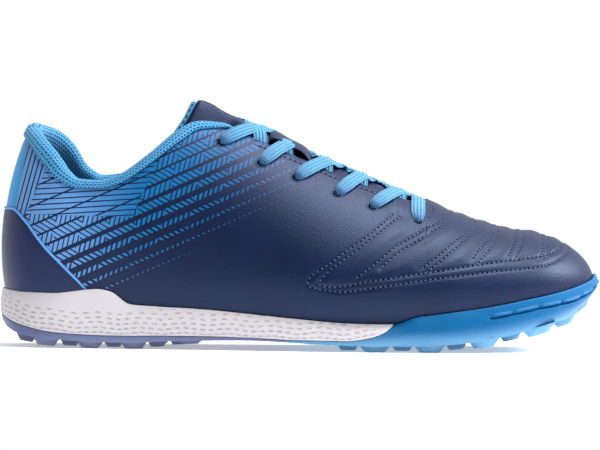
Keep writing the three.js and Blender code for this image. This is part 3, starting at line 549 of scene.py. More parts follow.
class Finish:
    """A material with one Principled shader, and helpers to wire patterns into it."""

    def __init__(self, name, color, roughness, **sockets):
        self.material = bpy.data.materials.new(name)
        self.material.use_nodes = True
        self.tree = self.material.node_tree
        self.shader = self.tree.nodes["Principled BSDF"]
        self.shader.inputs["Base Color"].default_value = (*color, 1)
        self.shader.inputs["Roughness"].default_value = roughness
        for key, value in sockets.items():
            self.shader.inputs[key.replace("_", " ")].default_value = value
        self.bump_before = None

    def node(self, kind, **settings):
        node = self.tree.nodes.new(kind)
        for key, value in settings.items():
            setattr(node, key, value)
        return node

    def position(self):
        """Object coordinates in mm."""
        node = self.node("ShaderNodeTexCoord")
        scale = self.node("ShaderNodeVectorMath", operation="SCALE")
        scale.inputs["Scale"].default_value = 1000
        self.tree.links.new(node.outputs["Object"], scale.inputs[0])
        return scale.outputs[0]

    def pattern(self):
        """The piece's own UV map, in mm."""
        return self.node("ShaderNodeUVMap", uv_map="pattern").outputs[0]

    def split(self, vector):
        node = self.node("ShaderNodeSeparateXYZ")
        self.tree.links.new(vector, node.inputs[0])
        return [Term(self.tree, s) for s in node.outputs]

    def noise(self, vector, scale, detail=3.0):
        node = self.node("ShaderNodeTexNoise")
        node.inputs["Scale"].default_value = scale
        node.inputs["Detail"].default_value = detail
        self.tree.links.new(vector, node.inputs["Vector"])
        return Term(self.tree, node.outputs[0])

    def cells(self, vector, scale):
        node = self.node("ShaderNodeTexVoronoi")
        node.inputs["Scale"].default_value = scale
        self.tree.links.new(vector, node.inputs["Vector"])
        return Term(self.tree, node.outputs["Distance"])

    def blend(self, low, high, factor):
        """A colour between two, which may be colours or sockets."""
        node = self.node("ShaderNodeMix", data_type="RGBA")
        sockets = [s for s in node.inputs if s.type == "RGBA"]
        for slot, value in zip(sockets, (low, high)):
            if isinstance(value, tuple):
                slot.default_value = (*value, 1)
            else:
                self.tree.links.new(value, slot)
        self.tree.links.new(factor.socket, node.inputs[0])
        return next(s for s in node.outputs if s.type == "RGBA")

    def color(self, socket):
        self.tree.links.new(socket, self.shader.inputs["Base Color"])

    def rough(self, term):
        self.tree.links.new(term.socket, self.shader.inputs["Roughness"])

    def bump(self, height, distance):
        """Relief whose height goes from 0 to 1, with its depth in mm."""
        node = self.node("ShaderNodeBump")
        node.inputs["Distance"].default_value = distance / 1000
        self.tree.links.new(height.socket, node.inputs["Height"])
        if self.bump_before:
            self.tree.links.new(self.bump_before, node.inputs["Normal"])
        self.bump_before = node.outputs[0]
        self.tree.links.new(self.bump_before, self.shader.inputs["Normal"])


def colour(name):
    """A colour from the add-on's settings."""
    return tuple(getattr(bpy.context.scene.turf_shoe, name))


def grain(finish, where):
    """Fine leather grain: small cells with soft noise over them."""
    cells = finish.cells(where, 1.3)
    soft = finish.noise(where, 2.0)
    finish.bump(cells * 0.6 + soft * 0.5, GRAIN_DEPTH)
    return cells, soft


def leather(name, printed=False, overlay=False):
    """Navy leather with a fine grain. The printed one has hatched bands that fade towards the toe."""
    base = colour("overlay_navy" if overlay else "navy")
    finish = Finish(name, base, 0.42, Specular_IOR_Level=0.38, Specular_Tint=(0.55, 0.66, 1.0, 1))
    where = finish.position()
    cells, soft = grain(finish, where)
    wide = finish.noise(where, 0.05, 2.0)
    lit = tuple(min(1.0, c * 1.35) for c in base)
    dark = tuple(c * 0.75 for c in base)
    ground = finish.blend(dark, lit, (soft * 0.5 + wide * 0.5 + cells * 0.3 - 0.1).step(0.2, 0.8))
    finish.rough(soft * 0.2 + 0.36)
    if printed:
        ink, pale, strip = hatch_print(finish, where)
        x, _, _ = finish.split(where)
        blue = finish.blend(colour("print_blue"), colour("print_dark"), x.step(-75.0, 0.0))
        blue = finish.blend(blue, colour("print_pale"), pale)
        # strip: painted shade up the back of the heel, as solid cyan
        blue = finish.blend(blue, colour("heel_back_shade_blue"), strip)
        ground = finish.blend(ground, blue, ink)
    finish.color(ground)
    return finish.material


def hatch_print(finish, where):
    """Where the quarter's print has ink, how pale it is, and where the strip of painted shade up the back of
    the heel is.

    Bands rise towards the toe. Each holds slanted bars whose slant turns from group to group.
    Bars and bands thin out along a line that falls towards the sole, until nothing is left.
    """
    x, _, z = finish.split(where)
    along = x * 0.914 + z * 0.407
    across = z * 0.914 - x * 0.407
    fade = (x * 0.507 - z * 0.862 + 65.7) * (-1 / 46)
    rows = across / 5.6
    row = rows.op("FLOOR")
    inside = rows.op("FRACT") - 0.5
    group = (along / 31.0 + row * 0.37).op("FRACT")
    turn = (group - 0.5).op("SIGN")
    bars = (along / 2.7 + turn * inside * 1.5 + row * 0.31).op("FRACT") - 0.5
    bar = bars.op("ABSOLUTE") - (fade * 0.36 + 0.1).op("MINIMUM", 0.36)
    band = inside.op("ABSOLUTE") - (fade * 0.44 + 0.02).op("MINIMUM", 0.41)
    hatch = (-bar).step(-0.03, 0.03) * (-band).step(-0.02, 0.02)
    lines = (z * 0.997 - x * 0.07) / 2.5
    thin = (lines.op("FRACT") - 0.5).op("ABSOLUTE").step(0.40, 0.36)
    breaks = ((across / 8.2).op("FRACT") - 0.5).op("ABSOLUTE").step(0.47, 0.44)
    ruled = thin * breaks
    fan = (x - z * 0.26) / 2.3
    steep = (fan.op("FRACT") - 0.5).op("ABSOLUTE").step(0.37, 0.33)
    at_fan = (x + 132.9 - (z - 63.0) * 0.437).step(0.3, -0.3)
    # The back of the heel: its pale print in shade, painted as a solid cyan strip
    at_heel_back_shade = (x + 137.2 - (z - 68.0) * 0.178).step(0.3, -0.3)
    at_ruled = (-x - 78.0 + (z - 70.0) * 0.45).step(-0.3, 0.3) * (z - 61.5 + x * 0.02).step(0.0, 0.6)
    ink = hatch + (ruled - hatch) * at_ruled
    ink = ink + (steep - ink) * at_fan
    ink = ink + (-ink + 1.0) * at_heel_back_shade
    ink = ink * fade.step(0.0, 0.06) * (-x + 30.0).step(0.0, 8.0)
    return ink, (-x - 88.0).step(-14.0, 30.0), at_heel_back_shade


def mesh_cloth(name, base, dark, pitch=1.9):
    """Air mesh: staggered dark holes between soft ribs, on the piece's own map. The holes' dark is painted
    shade.
    """
    finish = Finish(name, base, 0.85, Sheen_Weight=0.15)
    u, v, _ = finish.split(finish.pattern())
    rows = v / (pitch * 0.8)
    shift = (rows.op("FLOOR") * 0.5).op("FRACT")
    cu = (u / pitch + shift).op("FRACT") - 0.5
    cv = rows.op("FRACT") - 0.5
    hole = (cu * cu * 3.2 + cv * cv * 5.0).op("SQRT")
    open_ = hole.step(0.8, 0.3)
    threads = finish.noise(finish.pattern(), 3.0, 2.0)
    # The dark in the holes is painted shade; the thread noise is a small random tone
    finish.color(finish.blend(base, dark, open_ + threads * 0.15))
    finish.bump(-open_ + 1.0, 0.7)
    finish.bump(threads, 0.12)
    return finish.material


def lace_cloth():
    """Flat woven lace: lengthwise ribs with a fine herringbone across them, painted shade in their gaps and
    near the hole.
    """
    base = colour("lace_blue")
    # dark: painted shade for the valleys between ribs and the gaps between strands
    dark = tuple(c * 0.35 for c in base)
    finish = Finish("lace_weave", base, 0.75, Sheen_Weight=0.2)
    u, v, _ = finish.split(finish.pattern())
    ribs = (u * 4.0 + 0.5).op("FRACT") - 0.5
    valley = ribs.op("ABSOLUTE")
    weave = (v / 0.75 + valley * 1.2).op("FRACT") - 0.5
    strand = weave.op("ABSOLUTE") * 2.0
    # deep: painted shade on the lace where it comes out of its hole, fading out by 15 mm along it
    deep = finish.blend((base[0] * 0.1, base[1] * 0.42, base[2] * 0.62), base, v.step(1.5, 15.0))
    finish.color(finish.blend(deep, dark, valley.step(0.25, 0.5) * 0.6 + strand.step(0.4, 1.0) * 0.4))
    finish.bump(valley.step(0.5, 0.15), 0.35)
    finish.bump(-strand + 1.0, 0.12)
    return finish.material


def foam():
    """Off-white moulded foam with a dull fine texture and rows of small dented dashes near its lower edge,
    darkened with painted shade.
    """
    base = colour("foam_white")
    finish = Finish("foam_white", base, 0.6)
    where = finish.position()
    u, v, _ = finish.split(finish.pattern())
    wave = ((u / 11.0).op("PINGPONG", 1.0) - 0.5) * 1.1
    warped = (v + wave) / 2.35
    row = warped.op("FLOOR")
    mid = warped.op("FRACT") - 0.5
    pitch = row * 0.55 + 3.6
    dash = ((u + row * row * 0.9) / pitch).op("FRACT") - 0.5
    along = dash * pitch / 1.15
    across = mid * 2.35 / 0.36
    spot = (along * along + across * across).op("SQRT")
    ends = (u + 139.0).step(0.0, 6.0) * (v - 0.6).step(0.0, 0.4)
    ends = ends * (-v + 12.2 - u * 0.025).step(0.0, 0.6)
    dent = spot.step(1.25, 0.75) * ends
    speck = finish.noise(where, 1.6, 3.0)
    # shade: painted shade inside the dented dashes
    shade = tuple(c * 0.62 for c in base)
    finish.color(finish.blend(base, shade, dent * 0.5 + speck.step(0.55, 0.9) * 0.08))
    finish.bump(-dent + 1.0, 0.5)
    finish.bump(speck, 0.08)
    return finish.material


def rubber(name, base, pale, low, high):
    """Moulded rubber, paler towards the ground with painted light from the floor, with a fine sandy face."""
    finish = Finish(name, base, 0.42, Specular_IOR_Level=0.3, Specular_Tint=(0.4, 0.7, 1.0, 1))
    where = finish.position()
    x, _, z = finish.split(where)
    rise = ((x - 58.0) / 87.0).op("MAXIMUM", 0.0)
    height = z - rise * rise * 17.0
    sand = finish.noise(where, 1.5, 3.0)
    # The pale colour near the ground is painted light bounced up from the floor
    finish.color(finish.blend(pale, base, (height + sand * 2.0).step(low, high)))
    finish.bump(sand, 0.12)
    finish.rough(sand * 0.3 + 0.3)
    return finish.material


def thread(name, base):
    finish = Finish(name, base, 0.6)
    twist = finish.noise(finish.position(), 2.5, 1.0)
    finish.color(finish.blend(tuple(c * 0.7 for c in base), base, twist))
    finish.bump(twist, 0.08)
    return finish.material


def finish_of(name, make):
    """Makes a finish once and then reuses it."""
    return bpy.data.materials.get(name) or make()


def navy_printed():
    return finish_of("navy_leather_printed", lambda: leather("navy_leather_printed", printed=True))


def navy_plain():
    return finish_of("tongue_leather", lambda: leather("tongue_leather"))


def collar_cloth():
    name = "collar_mesh"
    return finish_of(name, lambda: mesh_cloth(name, colour("mesh_blue"), colour("mesh_hole_shade")))


# Pieces


def grid_normals(points):
    """Normals of a grid of points from the cross product of its two differences; its rows go round."""
    along = np.roll(points, -1, 0) - np.roll(points, 1, 0)
    up = np.gradient(points, axis=1)
    n = np.cross(along, up)
    size = np.linalg.norm(n, axis=-1, keepdims=True)
    n = np.where(size > 1e-9, n / np.maximum(size, 1e-9), np.array([0, 0, 1.0]))
    flip = np.sign((n * (points - np.array([0, 0, 30.0]))).sum(-1, keepdims=True))
    return n * np.where(flip == 0, 1, flip)


def seam_distance(points, normals, seam):
    """Distance over the surface to a seam given from the side: its distance in that view, divided by
    the sine of the angle between the way to it and the surface's normal."""
    flat = points[..., [0, 2]].reshape(-1, 2)
    side = normals[..., [0, 2]].reshape(-1, 2)
    line = np.array(seam, float)
    a, b = line[:-1], line[1:]
    d = b - a
    best = np.full(len(flat), 1e9)
    way = np.zeros_like(flat)
    for k in range(len(a)):
        t = np.clip(((flat - a[k]) @ d[k]) / (d[k] @ d[k]), 0, 1)
        off = flat - (a[k] + t[:, None] * d[k])
        dist = np.hypot(off[:, 0], off[:, 1])
        near = dist < best
        best = np.where(near, dist, best)
        way = np.where(near[:, None], off / np.maximum(dist, 1e-9)[:, None], way)
    lean = np.sqrt(np.clip(1 - (way * side).sum(1) ** 2, 0.04, 1))
    return (best / lean).reshape(points.shape[:-1])


def vamp_relief(points, normals):
    """Quilting: a narrow groove along each seam and a soft swell between seams, none below the lowest."""
    distance = np.full(points.shape[:-1], 1e9)
    for seam in VAMP_SEAMS:
        line = spline(np.array(seam, float), 8 * len(seam))
        distance = np.minimum(distance, seam_distance(points, normals, line))
    base = np.array(VAMP_SEAMS[3])
    above = points[..., 2] - np.interp(points[..., 0], base[:, 0], base[:, 1])
    first = np.array(VAMP_SEAMS[0])
    ahead = points[..., 0] - np.interp(points[..., 2], first[1:, 1], first[1:, 0])
    inside = smooth(above / 3) * smooth((ahead + 1.5) / 3)
    swell = 1 - bell(distance, SWELL_REACH)
    return -SEAM_DEPTH * bell(distance, SEAM_HALF) + SWELL_HEIGHT * swell * inside


class TURFSHOE_OT_upper(bpy.types.Operator):
    """The leather upper: a shell on the last, quilted over the vamp, with punched lace holes"""

    bl_idname = "turfshoe.upper"
    bl_label = "Upper"

    def execute(self, context):
        xs = places(lambda x: np.where(x > 0, 0.8, np.where(x > -45, 1.3, 2.2)))
        st = ring(xs)
        columns = len(st.x)
        edge = edge_angle(st)
        start = angle_at_height(st, st.lip - 3)
        rows = 100
        t = np.linspace(0, 1, rows)[None, :]
        outer = on_last(st, mix(start, edge, t))
        normals = grid_normals(outer)
        outer = outer + normals * vamp_relief(outer, normals)[..., None]
        fall = smooth((mix(start, edge, t) - edge + 0.05) / 0.05) * np.where(st.x >= THROAT_END, 0, 1)
        outer = outer - normals * (0.35 * fall**2)[..., None]
        turn = np.linspace(0, np.pi, 6)[None, 1:-1]
        tangent = unit(on_last(st, edge) - on_last(st, edge - 0.03))
        closed = (st.x >= THROAT_END)[..., None]
        rim = on_last(st, edge, 1.0 - np.cos(turn) * 0.65)
        rim = rim + tangent * (np.sin(turn) * 0.5)[..., None] * ~closed
        back = np.linspace(1, 0, 26)[None, :]
        floor = angle_at_height(st, st.floor + 1)
        inner = on_last(st, mix(floor, edge, back), UPPER_WALL)
        points = np.concatenate([outer, rim, inner], 1)
        total = points.shape[1]
        shut = closed[:, 0, 0] & np.roll(closed[:, 0, 0], -1)
        keep = np.ones((columns, total), bool)
        keep[shut, rows - 1:rows + rim.shape[1]] = False
        faces = grid_faces(columns, total, wrap_rows=True, wrap_columns=True, keep=keep)
        inside = (faces[:, 0] % total) >= rows + rim.shape[1] // 2
        obj = piece(
            "upper-leather", points, faces, [navy_printed(), finish_of("navy_lining", navy_lining)],
            kinds=inside.astype(int),
        )
        punch(obj)
        obj.data.set_sharp_from_angle(angle=0.9)
        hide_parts("upper")
        return {"FINISHED"}


def navy_lining():
    """Dull lining cloth inside the upper."""
    finish = Finish("navy_lining", tuple(c * 0.8 for c in colour("navy")), 0.9)
    weave = finish.noise(finish.position(), 1.3, 2.0)
    finish.bump(weave, 0.2)
    finish.color(finish.blend(tuple(c * 0.5 for c in colour("navy")), colour("navy"), weave))
    return finish.material


def eyelets():
    """The middle and outward direction of each lace hole."""
    side = np.repeat([-1.0, 1.0], len(EYELETS["at"]))
    st = station(side, place(np.tile(EYELETS["at"], 2)))
    angle = angle_at_height(st, np.tile(EYELETS["high"], 2) * INSTEP_HEIGHT)
    return on_last(st, angle), facing(st, angle)


def frames(normals):
    """Two directions square to each normal."""
    a = unit(np.cross(normals, np.array([0, 0, 1.0])))
    return a, np.cross(normals, a)


def punch(obj):
    """Cuts the lace holes as round cylinders along the upper's normals."""
    middles, normals = eyelets()
    a, b = frames(normals)
    turn = np.linspace(0, 2 * np.pi, 32, endpoint=False)
    circle = np.cos(turn)[None, :, None] * a[:, None] + np.sin(turn)[None, :, None] * b[:, None]
    loops = [middles[:, None] + EYELET_RADIUS * circle + h * normals[:, None] for h in (-5, 5)]
    b_mesh = bmesh.new()
    for low, high in zip(*loops):
        bottom = [b_mesh.verts.new(p / 1000) for p in low]
        top = [b_mesh.verts.new(p / 1000) for p in high]
        b_mesh.faces.new(bottom)
        b_mesh.faces.new(top)
        for k in range(len(top)):
            b_mesh.faces.new([bottom[k - 1], bottom[k], top[k], top[k - 1]])
    bmesh.ops.recalc_face_normals(b_mesh, faces=b_mesh.faces)
    mesh = bpy.data.meshes.new("punches")
    b_mesh.to_mesh(mesh)
    b_mesh.free()
    cutter = bpy.data.objects.new("punches", mesh)
    bpy.context.scene.collection.objects.link(cutter)
    modifier = obj.modifiers.new("punch", "BOOLEAN")
    modifier.object = cutter
    modifier.operation = "DIFFERENCE"
    modifier.solver = "EXACT"
    bake(obj)
    bpy.data.objects.remove(cutter)


def bake(obj):
    """Applies the object's modifiers."""
    bpy.context.view_layer.update()
    evaluated = obj.evaluated_get(bpy.context.evaluated_depsgraph_get())
    mesh = bpy.data.meshes.new_from_object(evaluated)
    obj.modifiers.clear()
    old, obj.data = obj.data, mesh
    bpy.data.meshes.remove(old)


def strip(points, half_width, thickness, across, up, profile, turns):
    """A closed band along a path. Its section is half_width wide to each side and as thick as given,
    with rounded edges, and profile(a), for a from -1 to 1 across it, raises its face and its back."""
    a = np.cos(np.linspace(0, 2 * np.pi, 2 * turns, endpoint=False))
    face = np.sin(np.linspace(0, 2 * np.pi, 2 * turns, endpoint=False)) > 0
    edge = np.sqrt(np.clip(1 - a**6, 0, 1))
    top = thickness / 2 * edge * np.where(face, 1, -1)
    crown = profile(a[None, :])
    off = across[:, None] * (a * half_width[:, None])[..., None] + up[:, None] * (top + crown)[..., None]
    loops = points[:, None] + off
    faces = list(grid_faces(len(points), 2 * turns, wrap_columns=True))
    last = (len(points) - 1) * 2 * turns
    faces += list(cap_faces(list(range(2 * turns))))
    faces += list(cap_faces([last + k for k in range(2 * turns)]))
    return loops.reshape(-1, 3), faces, a


def tube(path, radius, sides=8):
    """A round tube along an open path, closed at its ends."""
    along = unit(np.gradient(path, axis=0))
    a = unit(np.cross(along, np.array([0.0, 0.3, 1.0])))
    b = np.cross(along, a)
    turn = np.linspace(0, 2 * np.pi, sides, endpoint=False)
    ends = np.sqrt(np.clip(1 - np.linspace(-1, 1, len(path)) ** 40, 0.02, 1))
    loops = path[:, None] + (radius * ends)[:, None, None] * (
        np.cos(turn)[None, :, None] * a[:, None] + np.sin(turn)[None, :, None] * b[:, None]
    )
    last = (len(path) - 1) * sides
    faces = list(grid_faces(len(path), sides, wrap_columns=True))
    faces += list(cap_faces(list(range(sides)))) + list(cap_faces([last + k for k in range(sides)]))
    return loops.reshape(-1, 3), faces


COUNTER_EDGE = np.array([
    (-146.0, 66.4), (-142.6, 66.5), (-138.2, 66.6), (-135.8, 64.7), (-131.0, 59.4), (-126.1, 52.7),
    (-121.3, 46.9), (-116.4, 42.1), (-111.6, 37.3), (-106.7, 32.5), (-102.8, 28.4),
])


class TURFSHOE_OT_counter(bpy.types.Operator):
    """The overlay round the back of the heel, with a piping along its upper edge"""

    bl_idname = "turfshoe.counter"
    bl_label = "Heel counter"

    def execute(self, context):
        xs = places(lambda x: np.full_like(x, 1.5))
        xs = xs[xs <= -102.0]
        side = np.concatenate([-np.ones(len(xs)), np.ones(len(xs) - 1)])
        st = station(side[:, None], np.concatenate([xs[::-1], xs[1:]])[:, None])
        low = angle_at_height(st, st.lip - 1)
        high = angle_at_height(st, st.lip + 2)
        for _ in range(12):
            at = on_last(st, high)[..., 0]
            top = np.interp(at, COUNTER_EDGE[:, 0], COUNTER_EDGE[:, 1])
            high = angle_at_height(st, np.maximum(top, st.lip + 0.5))
        rows = 40
        t = np.linspace(0, 1, rows)[None, :]
        angle = mix(low, high, t)
        soft = 0.5 * np.clip(1 - ((1 - t) / 0.03), 0, 1) ** 2
        face = on_last(st, angle, -(CLEARANCE + COUNTER_WALL - 0.35) + soft)
        back = on_last(st, angle[:, ::-1], -0.1)
        points = np.concatenate([face, back], 1)
        faces = list(grid_faces(len(points), points.shape[1], wrap_columns=True))
        count = points.shape[1]
        last = (len(points) - 1) * count
        for first in (0, last):
            for k in range(rows - 1):
                far = first + count - 1 - k
                faces.append(np.array([first + k, first + k + 1, far - 1, far]))
        obj = piece("heel-overlay", points, faces, [leather("overlay_leather", overlay=True)])
        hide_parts("heel-counter")
        path = on_last(st, high, -0.45)[:, 0]
        fine = spline(path, 3 * len(path))
        points, faces = tube(fine, PIPING_RADIUS)
        piping = thread("piping_blue", colour("piping_blue"))
        piece("heel-piping", points, faces, [piping], merge=False)
        return {"FINISHED"}


class TURFSHOE_OT_collar(bpy.types.Operator):
    """The padded collar: a mesh roll over the upper's edge and its lining inside"""

    bl_idname = "turfshoe.collar"
    bl_label = "Collar"

    def execute(self, context):
        xs = places(lambda x: np.full_like(x, 1.2))
        xs = np.append(xs[xs < COLLAR_END + 5.5], COLLAR_END + 5.5)
        side = np.concatenate([-np.ones(len(xs)), np.ones(len(xs) - 1)])
        st = station(side, np.concatenate([xs[::-1], xs[1:]]))
        edge = edge_angle(st)
        edges = on_last(st, edge)
        out = outward(st, edge)
        along = unit(np.gradient(edges, axis=0))
        up = unit(np.cross(along, out))
        up *= np.sign(up[:, 2:])
        end = np.sqrt(np.clip(1 - np.clip((st.x - COLLAR_END) / 5.6, 0, 1) ** 2, 0, 1))
        taper = mix(0.75, 1, smooth((COLLAR_END - st.x) / 22)) * mix(0.12, 1, end)
        heel_side = bell(share(st.x) - 0.07, 0.05)
        back_rise = 1.6 * bell(share(st.x), 0.05)
        front_rise = 2.3 * bell(st.x + 48, 15) * end
        tall = taper * (COLLAR_ROLL + COLLAR_ROLL_HEEL * heel_side) + back_rise + front_rise
        thick = (COLLAR_GAP + COLLAR_PAD * taper) * mix(0.3, 1, end)
        gap = COLLAR_GAP * mix(0.3, 1, end)

        def at(u, n):
            return edges + up * np.asarray(u)[..., None] + out * np.asarray(n)[..., None]

        roll = [
            at(CLEARANCE + 0 * tall, 0.5 * end), at(0.3 * tall, 1.3 * taper), at(0.7 * tall, 0.7 * taper),
            at(0.95 * tall, -0.25 * thick), at(tall, -0.5 * thick), at(0.85 * tall, -0.85 * thick),
            at(0.4 * tall, -COLLAR_SWELL * thick),
        ]
        low = np.maximum(edge - COLLAR_DEPTH * end, angle_at_height(st, st.lip + 12))
        deep = [on_last(st, mix(edge, low, t), mix(thick * COLLAR_SWELL, gap + LINING_WALL * end, t * t))
                for t in (0.25, 0.6, 1)]
        near = [on_last(st, mix(edge, low, t), gap) for t in (1, 0.6, 0.25)]
        loop = np.stack([*roll, *deep, *near, at(CLEARANCE + 0 * tall, -gap)], 1)
        count = 84
        points = spline(loop, count, closed=True)
        step_u = np.linalg.norm(np.diff(edges, axis=0, prepend=edges[:1]), axis=1)
        u = np.cumsum(step_u)
        ring_lengths = np.linalg.norm(np.diff(points, axis=1, prepend=points[:, :1]), axis=-1)
        v = np.cumsum(ring_lengths.mean(0))
        uv = np.stack(np.broadcast_arrays(u[:, None], v[None, :]), -1)
        faces = list(grid_faces(len(points), count, wrap_columns=True))
        last = (len(points) - 1) * count
        faces += list(cap_faces(list(range(count)))) + list(cap_faces([last + k for k in range(count)]))
        obj = piece("collar-padding", points, faces, [collar_cloth()], uv=uv, merge=False)
        face_out(obj.data)
        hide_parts("collar")
        return {"FINISHED"}


def tongue_sink(x):
    """How far the tongue lies below the last between the flaps: deeper towards the toe."""
    return mix(3.0, 1.0, smooth((-4 - x) / 12))


def tongue_inset(st, r):
    """How far the tongue lies below the last: under the flaps and collar, and in the opening."""
    collared = smooth((COLLAR_END + 20 - st.x) / 22)
    under_flap = UPPER_WALL + TONGUE_SLACK
    under_collar = COLLAR_SWELL * (COLLAR_GAP + COLLAR_PAD) + COLLAR_SLACK
    ahead = station(st.side, st.x + 4)
    edge = np.where(ahead.x < THROAT_END, section_point(ahead, edge_angle(ahead))[0], 0)
    slope = mix(7, 8, collared)
    opened = 1 - smooth((r - edge + slope + mix(1.5, 7, collared)) / slope)
    proud = TONGUE_PROUD - 1.0 * bell(st.x + 44, 4) - 1.8 * bell(st.x + 32, 4.5)
    return mix(mix(under_flap, under_collar, collared), mix(tongue_sink(st.x), -proud, collared), opened)


def tongue_face(rows=90, columns=49):
    """The tongue's face as a grid from its toe end to its top edge."""
    v = np.linspace(0, 1, rows)[:, None]
    s = np.linspace(-1, 1, columns)[None, :]
    a = np.abs(s)
    half = mix(TONGUE_HALF_TOE, TONGUE_HALF_TOP, smooth(v))
    x = mix(TONGUE_TOE, TONGUE_TOP - TONGUE_SWEEP * a**1.5, v)
    st = station(np.where(s < 0, -1.0, 1.0) + 0 * v, x)
    shrunk = grown(st, -tongue_inset(st, a * half))
    return on_last(shrunk, angle_at_reach(shrunk, a * half))


def sheet_points(face, front, back, edge_share, overhang=0.0):
    """Front and back layers of a sheet, moved along the face's normals, drawn together at its border."""
    rows, columns = face.shape[:2]
    along = np.gradient(face, axis=0)
    n = unit(np.cross(np.gradient(face, axis=1), along))
    n *= np.sign(n[..., 2:])
    for _ in range(12):
        wide = np.pad(n, ((1, 1), (1, 1), (0, 0)), mode="edge")
        n = unit(wide[:-2, 1:-1] + wide[2:, 1:-1] + wide[1:-1, :-2] + wide[1:-1, 2:])
    v = np.linspace(0, 1, rows)[:, None]
    s = np.abs(np.linspace(-1, 1, columns))[None, :]
    near = np.maximum(1 - np.minimum(1 - v, 1 - s) / edge_share, 0)
    full = np.sqrt(np.clip(1 - near**2, 0, 1))
    middle = (front + back) / 2
    half = (front - back) / 2
    drawn = face + unit(along) * (overhang * smooth((v - 0.9) / 0.1))[..., None]
    return drawn + n * (middle + half * full)[..., None], drawn + n * (middle - half * full)[..., None]


def sheet_piece(name, layers, finishes, uv=None):
    """A closed sheet from two layers that meet along their border, apart from a wall at the first row."""
    front, back = layers
    rows, columns = front.shape[:2]
    count = rows * columns
    top = grid_faces(rows, columns)
    bottom = grid_faces(rows, columns)[:, ::-1] + count
    k = np.arange(columns - 1)
    wall = np.stack([k, k + 1, k + 1 + count, k + count], -1)
    faces = np.concatenate([top, bottom, wall])
    points = np.concatenate([front.reshape(-1, 3), back.reshape(-1, 3)])
    if uv is not None:
        uv = np.concatenate([uv.reshape(-1, 2)] * 2)
    return piece(name, points, faces, finishes, uv=uv)


def face_map(face):
    """Arc lengths along and across a grid, in mm."""
    v = np.cumsum(np.linalg.norm(np.diff(face, axis=0, prepend=face[:1]), axis=-1).mean(1))
    u = np.cumsum(np.linalg.norm(np.diff(face, axis=1, prepend=face[:, :1]), axis=-1).mean(0))
    return np.stack(np.broadcast_arrays(u[None, :], v[:, None]), -1)


class TURFSHOE_OT_tongue(bpy.types.Operator):
    """The tongue's leather, its padded lining and the keeper that the laces pass under"""

    bl_idname = "turfshoe.tongue"
    bl_label = "Tongue"

    def execute(self, context):
        face = tongue_face()
        leather_piece = sheet_piece(
            "tongue-leather", sheet_points(face, 0.0, -TONGUE_LEATHER, 0.045), [navy_plain()]
        )
        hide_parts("tongue")
        front = -TONGUE_LEATHER - LINING_GAP
        lining = sheet_piece(
            "tongue-padding", sheet_points(face, front, front - TONGUE_FOAM, 0.05, LINING_OVERHANG),
            [collar_cloth()], uv=face_map(face),
        )
        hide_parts("tongue-lining")
        rows, columns = 60, 15
        v = np.linspace(-1, 1, rows)[:, None]
        a = np.linspace(-1, 1, columns)[None, :]
        x = KEEPER_MIDDLE - v * KEEPER_LENGTH / 2
        st = station(np.where(a < 0, -1.0, 1.0) + 0 * v, x + 0 * a)
        lift = CLEARANCE * 0.5 - tongue_sink(x) + (KEEPER_LIFT + KEEPER_ARCH * a**2) * (1 - v**4)
        raised = grown(st, lift)
        band = on_last(raised, angle_at_reach(raised, np.abs(a) * KEEPER_WIDTH / 2))
        keeper = sheet_piece(
            "lace-keeper", sheet_points(band, KEEPER_WALL, 0.0, 0.04), [navy_plain()]
        )
        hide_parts("tongue-keeper")
        return {"FINISHED"}


def sole_wide(st):
    """How far the sole's side stands from the ridge line."""
    flare = mix(SIDE_FLARE, HEEL_INSET, smooth((HEEL_AXIS - st.x) / HEEL_AXIS_INSET))
    return st.reach + mix(flare, TOE_BUMPER, smooth((st.x - TOE_AXIS) / TOE_AXIS_INSET))


def sole_wall(st, w):
    """The sole's side at a share of its height: drawn in below its middle and leaning in above it,
    with the toe bumper's groove and the small scallops over it. Returns the side's distance and height,
    and the distance of the lip's inner edge."""
    wide = sole_wide(st)
    roll = mix(1.2, 4, smooth((share(st.x) - 0.62) / 0.1))
    under = level("under", st.ridge_x + st.out_x * wide)
    lip_inner = section_point(st, angle_at_height(st, st.lip))[0] + CLEARANCE
    lip_outer = np.minimum(lip_inner + LIP_WALL, wide)
    inset = roll * np.clip(1 - w / 0.5, 0, 1) ** 2
    lean = (wide - lip_outer) * np.clip((w - 0.5) / 0.5, 0, 1) ** 2
    z = mix(under, st.lip, w)
    at = share(st.x)
    line = np.interp(at, [0.81, 0.9, 0.96, 1.0], [0.67, 0.66, 0.55, 0.5])
    off = (w - line) * (st.lip - under)
    started = smooth((at - 0.812) / 0.008)
    groove = GROOVE_DEPTH * 1.3 * started * bell(off, 0.45)
    beat = np.interp(at, [0.818, 0.855, 0.897, 0.934, 0.965, 0.985, 1.0], [0, 1, 2, 3, 4, 5, 6])
    lens = np.abs(np.sin(np.pi * beat))
    scallop = 0.7 * started * lens**0.6 * bell(off - 1.15, 0.6)
    notch = 1.4 * started * (1 - lens) ** 6 * bell(off - 0.9, 0.7)
    return wide - inset - lean - groove + scallop - notch, z, lip_inner


def wall_shares():
    return np.unique(np.concatenate([np.linspace(0, 1, 26), np.linspace(0.42, 0.82, 34)]))


